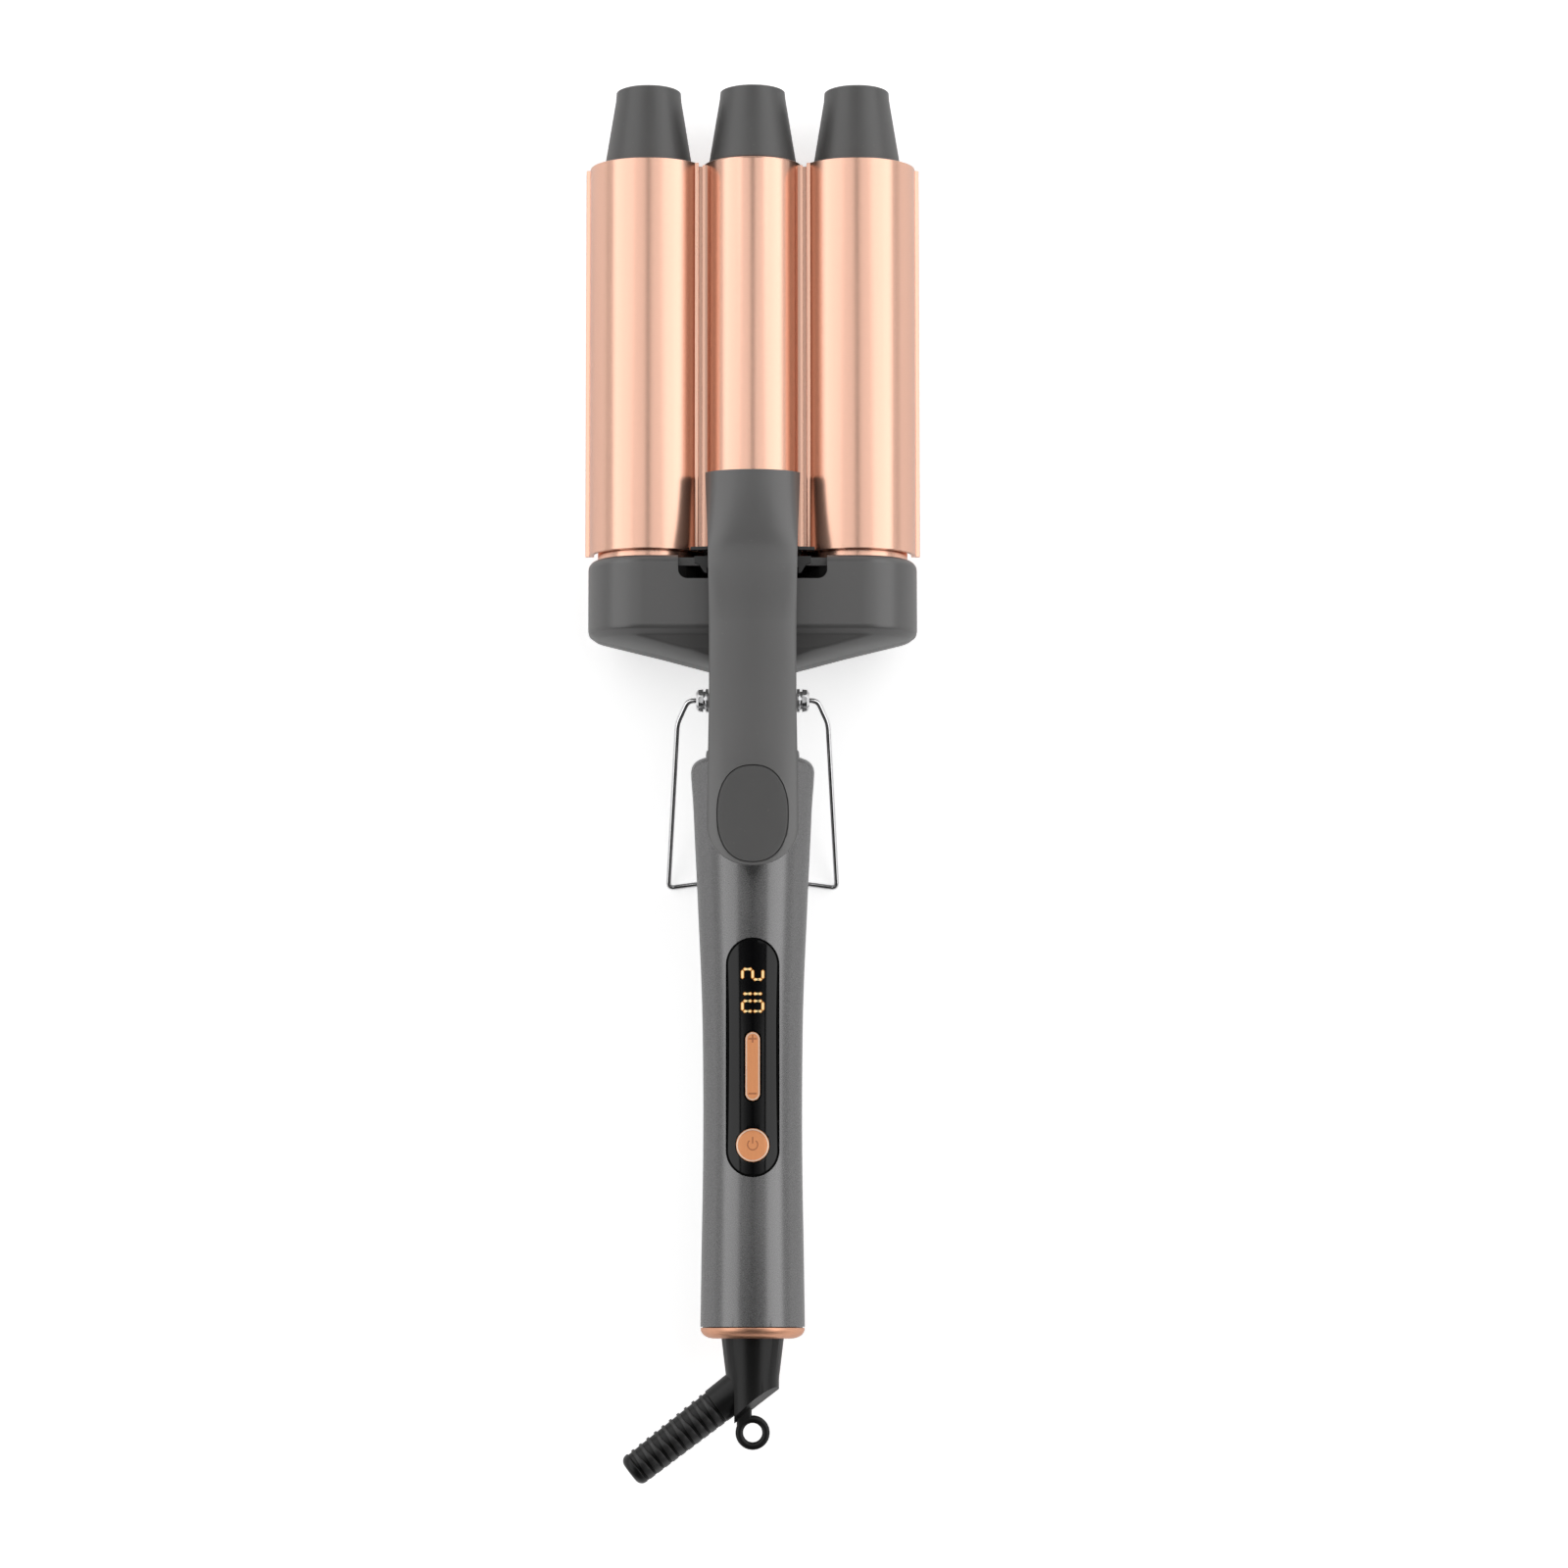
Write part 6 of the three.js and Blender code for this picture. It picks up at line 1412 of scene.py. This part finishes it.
def grown(tree, values, mesh=None):
    """What a tree makes of a mesh, or of nothing, with these values of its named inputs."""
    obj = loose(mesh or bpy.data.meshes.new("grown"))
    modifier = obj.modifiers.new("tree", "NODES")
    modifier.node_group = tree
    for item in tree.interface.items_tree:
        if item.in_out == "INPUT" and item.name in values:
            modifier[item.identifier] = values[item.name]
    return evaluated(obj)


def half_space(normal, point):
    """A big block that lies wholly in front of the plane through the point."""
    turn = Vector((0, 1, 0)).rotation_difference(normal)
    piece = block((-30, 30), (0, 30), (-30, 30))
    piece.data.transform(Matrix.Translation(point) @ turn.to_matrix().to_4x4())
    return piece


def mitres():
    """Two flat cuts, meeting in a shallow ridge, that run beside the tail."""
    along = TAIL_LINE.normalized()
    across = Vector((-along.y, along.x, 0))
    lean = math.radians(RELIEF_MITRE_LEAN)
    corner = Vector((0, RELIEF_ELBOW_Y, 0)) + across * RELIEF_MITRE
    normals = [across * math.cos(lean) + Vector((0, 0, side * math.sin(lean))) for side in (-1, 1)]
    return [half_space(normal, corner) for normal in normals]


def relief_stem():
    """The turned part that sits in the end ring, cut off beside and behind the tail."""
    flange_front = HANDLE_REAR + END_SPIGOT + GAP + RELIEF_FLANGE
    cone_front = HANDLE_REAR - GAP - END_RING_LENGTH + RELIEF_RECESS
    shaft = RELIEF_BORE - GAP
    flange = HANDLE_END - HANDLE_WALL - 1.6
    stem = turned([
        (0, flange_front), (flange, flange_front), (flange, flange_front - RELIEF_FLANGE),
        (shaft, flange_front - RELIEF_FLANGE), (shaft, cone_front), (RELIEF_CONE_FRONT, cone_front),
        (RELIEF_CONE_REAR, RELIEF_ELBOW_Y), (RELIEF_CONE_REAR - 0.2, LOOP_Y), (0, LOOP_Y),
    ])
    behind_tail = block((-20, -5.8), (LOOP_Y - 5, RELIEF_ELBOW_Y - 4), (-20, 20))
    return bevelled(carved(stem, cuts=[*mitres(), behind_tail]), 0.35)


def relief_tail():
    """The tail's core with its smooth ends, and its ribs, both laid along the tail."""
    reach = TAIL_LINE.length
    ribs_start, ribs_end = TAIL_SMOOTH, TAIL_SMOOTH + TAIL_RIBS * RIB_PITCH

    def radius(y):
        return TAIL_RADIUS + (TAIL_END_RADIUS - TAIL_RADIUS) * y / reach

    bulge = [(TAIL_END_RADIUS - 2.4 * (1 - math.cos(a)), reach - 2.4 + 2.3 * math.sin(a))
             for a in np.radians(np.linspace(0, 90, 8))]
    front = eased([(TAIL_RADIUS, -1), (radius(ribs_start), ribs_start - RIB_GAP / 2), (3, ribs_start)], 0.3)
    rear = eased([(3, ribs_end), (radius(ribs_end), ribs_end + RIB_GAP / 2), bulge[0]], 0.3)
    smooth = turned([(0, -1), *front, (0, ribs_start)], segments=72)
    end_cap = turned([(0, ribs_end), *rear, *bulge[1:], (0, bulge[-1][1])], segments=72)
    core = turned([(0, 2), (radius(2) - GROOVE_EDGE, 2), (radius(ribs_end) - GROOVE_EDGE, ribs_end + 1),
                   (0, ribs_end + 1)], segments=72)
    core.data.transform(Matrix.Diagonal((1, 1, 1 - (GROOVE_DEPTH - GROOVE_EDGE) / TAIL_RADIUS, 1)))
    core.data.transform(Matrix.Translation((-CORE_SHIFT, 0, 0)))
    tail = carved(core, joins=[smooth, end_cap])
    carved(tail, cuts=[rod(2.6, (reach - 12, reach + 2), "y")])
    first_rib = ribs_start + RIB_PITCH / 2
    ribs = grown(rib_tree(), {"Start": first_rib, "Radius": radius(first_rib), "Finish": RIB_RUBBER_LIT})
    turn = Matrix.Rotation(math.atan2(-TAIL_LINE.x, TAIL_LINE.y), 4, "Z")
    for piece in (tail, ribs):
        piece.data.transform(Matrix.Translation((0, RELIEF_ELBOW_Y, 0)) @ turn)
    return tail, ribs


def cord_relief():
    stem = relief_stem()
    tail, ribs = relief_tail()
    thick = (-LOOP_HALF_THICKNESS, LOOP_HALF_THICKNESS)
    section = [(LOOP_INNER, thick[0]), (LOOP_OUTER, thick[0]), (LOOP_OUTER, thick[1]), (LOOP_INNER, thick[1])]
    loop = turned(eased(section, 1.6, closed=True), axis="z", y=LOOP_Y, segments=72)
    neck = bevelled(block((-LOOP_OUTER + 0.4, -0.3), (LOOP_Y, RELIEF_ELBOW_Y), thick), 0.8)
    carved(neck, cuts=[rod(LOOP_INNER + 1, (-9, 9), y=LOOP_Y)])
    body = carved(stem, joins=[tail, neck, loop])
    finished(body, "relief_body", "cord_swivel", RUBBER_BLACK, ["strain_relief"], sharp=35)
    # The ribs get the lighter copy of the rubber: painted light on them.
    finished(ribs, "relief_ribs", "cord_swivel", RIB_RUBBER_LIT, sharp=35)


# Screws, made by one tree for every place that has them

def screw_tree():
    """A cross-head screw at every point, its head's outer face at the point and its shank along +z."""
    w, given, result = geometry_group("cross_screw", {
        "Geometry": "Geometry", "Head Radius": SCREW_HEAD_RADIUS, "Head Length": SCREW_HEAD_LENGTH,
        "Shank Radius": SCREW_RADIUS, "Shank Length": 10.0, "Thread Pitch": 0.8,
    })

    def moved(geometry, z):
        return w.add("GeometryNodeTransform", {"Geometry": geometry, "Translation": w.vector(Z=z)})

    def cylinder(radius, depth, vertices):
        return w.add("GeometryNodeMeshCylinder", {"Vertices": vertices, "Radius": radius, "Depth": depth})

    head_length, shank_length = given["Head Length"], given["Shank Length"]
    head = moved(cylinder(given["Head Radius"], head_length, 40), w.math("MULTIPLY", head_length, 0.5))
    long, narrow, deep = SCREW_RECESS
    sizes = ((long, narrow, deep), (narrow, long, deep))
    cross = [w.add("GeometryNodeMeshCube", {"Size": size}) for size in sizes]
    recessed = w.add("GeometryNodeMeshBoolean", {"Mesh 1": head, "Mesh 2": cross}, operation="DIFFERENCE")
    core_radius = w.math("MULTIPLY", given["Shank Radius"], 0.82)
    core_length = w.math("ADD", shank_length, 0.4)
    core_middle = w.math("ADD", w.math("MULTIPLY", core_length, 0.5), w.math("SUBTRACT", head_length, 0.4))
    core = moved(cylinder(core_radius, core_length, 20), core_middle)
    threaded = w.math("SUBTRACT", shank_length, 1.0)
    coil = w.add("GeometryNodeCurveSpiral", {
        "Resolution": 18, "Rotations": w.math("DIVIDE", threaded, given["Thread Pitch"]),
        "Start Radius": core_radius, "End Radius": core_radius, "Height": threaded,
    })
    ridge_radius = w.math("MULTIPLY", given["Shank Radius"], 0.18)
    ridge = w.add("GeometryNodeCurvePrimitiveCircle", {"Resolution": 4, "Radius": ridge_radius})
    thread = w.add("GeometryNodeCurveToMesh", {"Fill Caps": True, "Curve": coil, "Profile Curve": ridge})
    raised = moved(thread, w.math("ADD", head_length, 0.6))
    whole = w.add("GeometryNodeJoinGeometry", {"Geometry": [recessed, core, raised]})
    return repeated(w, given, result, {"Points": given["Geometry"], "Instance": whole})


def screws():
    tree = screw_tree()
    seat = -HEAD_HALF_DEPTH + HEAD_SCREW_SEAT - SCREW_HEAD_LENGTH - SCREW_SLACK
    board_z = BOARD_BOTTOM - GAP - SCREW_HEAD_LENGTH
    saddle_z = MIDDLE_RAISE + BARREL_BORE - 2 * GAP - SCREW_HEAD_LENGTH
    sets = (
        ("head_screws", "handle", [(side * HEAD_SCREW_X, HEAD_SCREW_Y, seat) for side in (-1, 1)],
         HEAD_SCREW_LENGTH, ["head_screw_left", "head_screw_right"]),
        ("handle_screws", "handle",
         [(0, y, handle_screw_seat(y) - SCREW_HEAD_LENGTH - SCREW_SLACK) for y in HANDLE_SCREWS_Y],
         HANDLE_SCREW_LENGTH, ["handle_screw_1", "handle_screw_2"]),
        ("board_screws", "handle", [(0, y, board_z) for y in BOARD_SCREWS_Y], BOARD_SCREW_LENGTH,
         ["board_screw_1", "board_screw_2"]),
        ("saddle_screws", "clamp", [(0, y, saddle_z) for y in SADDLE_SCREWS_Y], BARREL_WALL + 1.4,
         ["saddle_screw_1", "saddle_screw_2"]),
    )
    for name, body, places, length, nodes in sets:
        mesh = bpy.data.meshes.new(name)
        mesh.from_pydata(places, [], [])
        piece = grown(tree, {"Shank Length": length, "Finish": ZINC}, mesh)
        finished(piece, name, body, ZINC, nodes)


# Inner pieces keep their CAD solids and get a finish

def inner_pieces():
    finishes = {
        ALUMINIUM: ["heat_spreader_left", "heat_spreader_right", "heat_spreader_middle"],
        CERAMIC: ["heater_left", "heater_right", "heater_middle"],
        BOARD_GREEN: ["control_board"],
        MODULE_WHITE: ["display_module"],
        INNER_BLACK: ["barrel_seat_left", "barrel_seat_right", "power_switch", "plus_switch", "minus_switch",
                      "heater_triac", "swivel_socket"],
        RED_COVER: ["heater_lead_left", "mains_lead_left", "heater_lead_middle", "filter_capacitor"],
        BLUE_COVER: ["heater_lead_right", "mains_lead_right"],
        BRASS: ["swivel_contact"],
        ZINC: ["thermal_fuse"],
    }
    for material, nodes in finishes.items():
        for node in nodes:
            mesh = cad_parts[node].data
            mesh.materials.clear()
            mesh.materials.append(material)


photographer()
studio()
housings()
fixed_barrels()
valley_plate()
wings()
middle_barrel()
jaw_bracket()
lever()
hinge()
spring_and_stand()
handle_shells()
end_ring()
display_panel()
display_digits()
keys()
cord_relief()
screws()
inner_pieces()
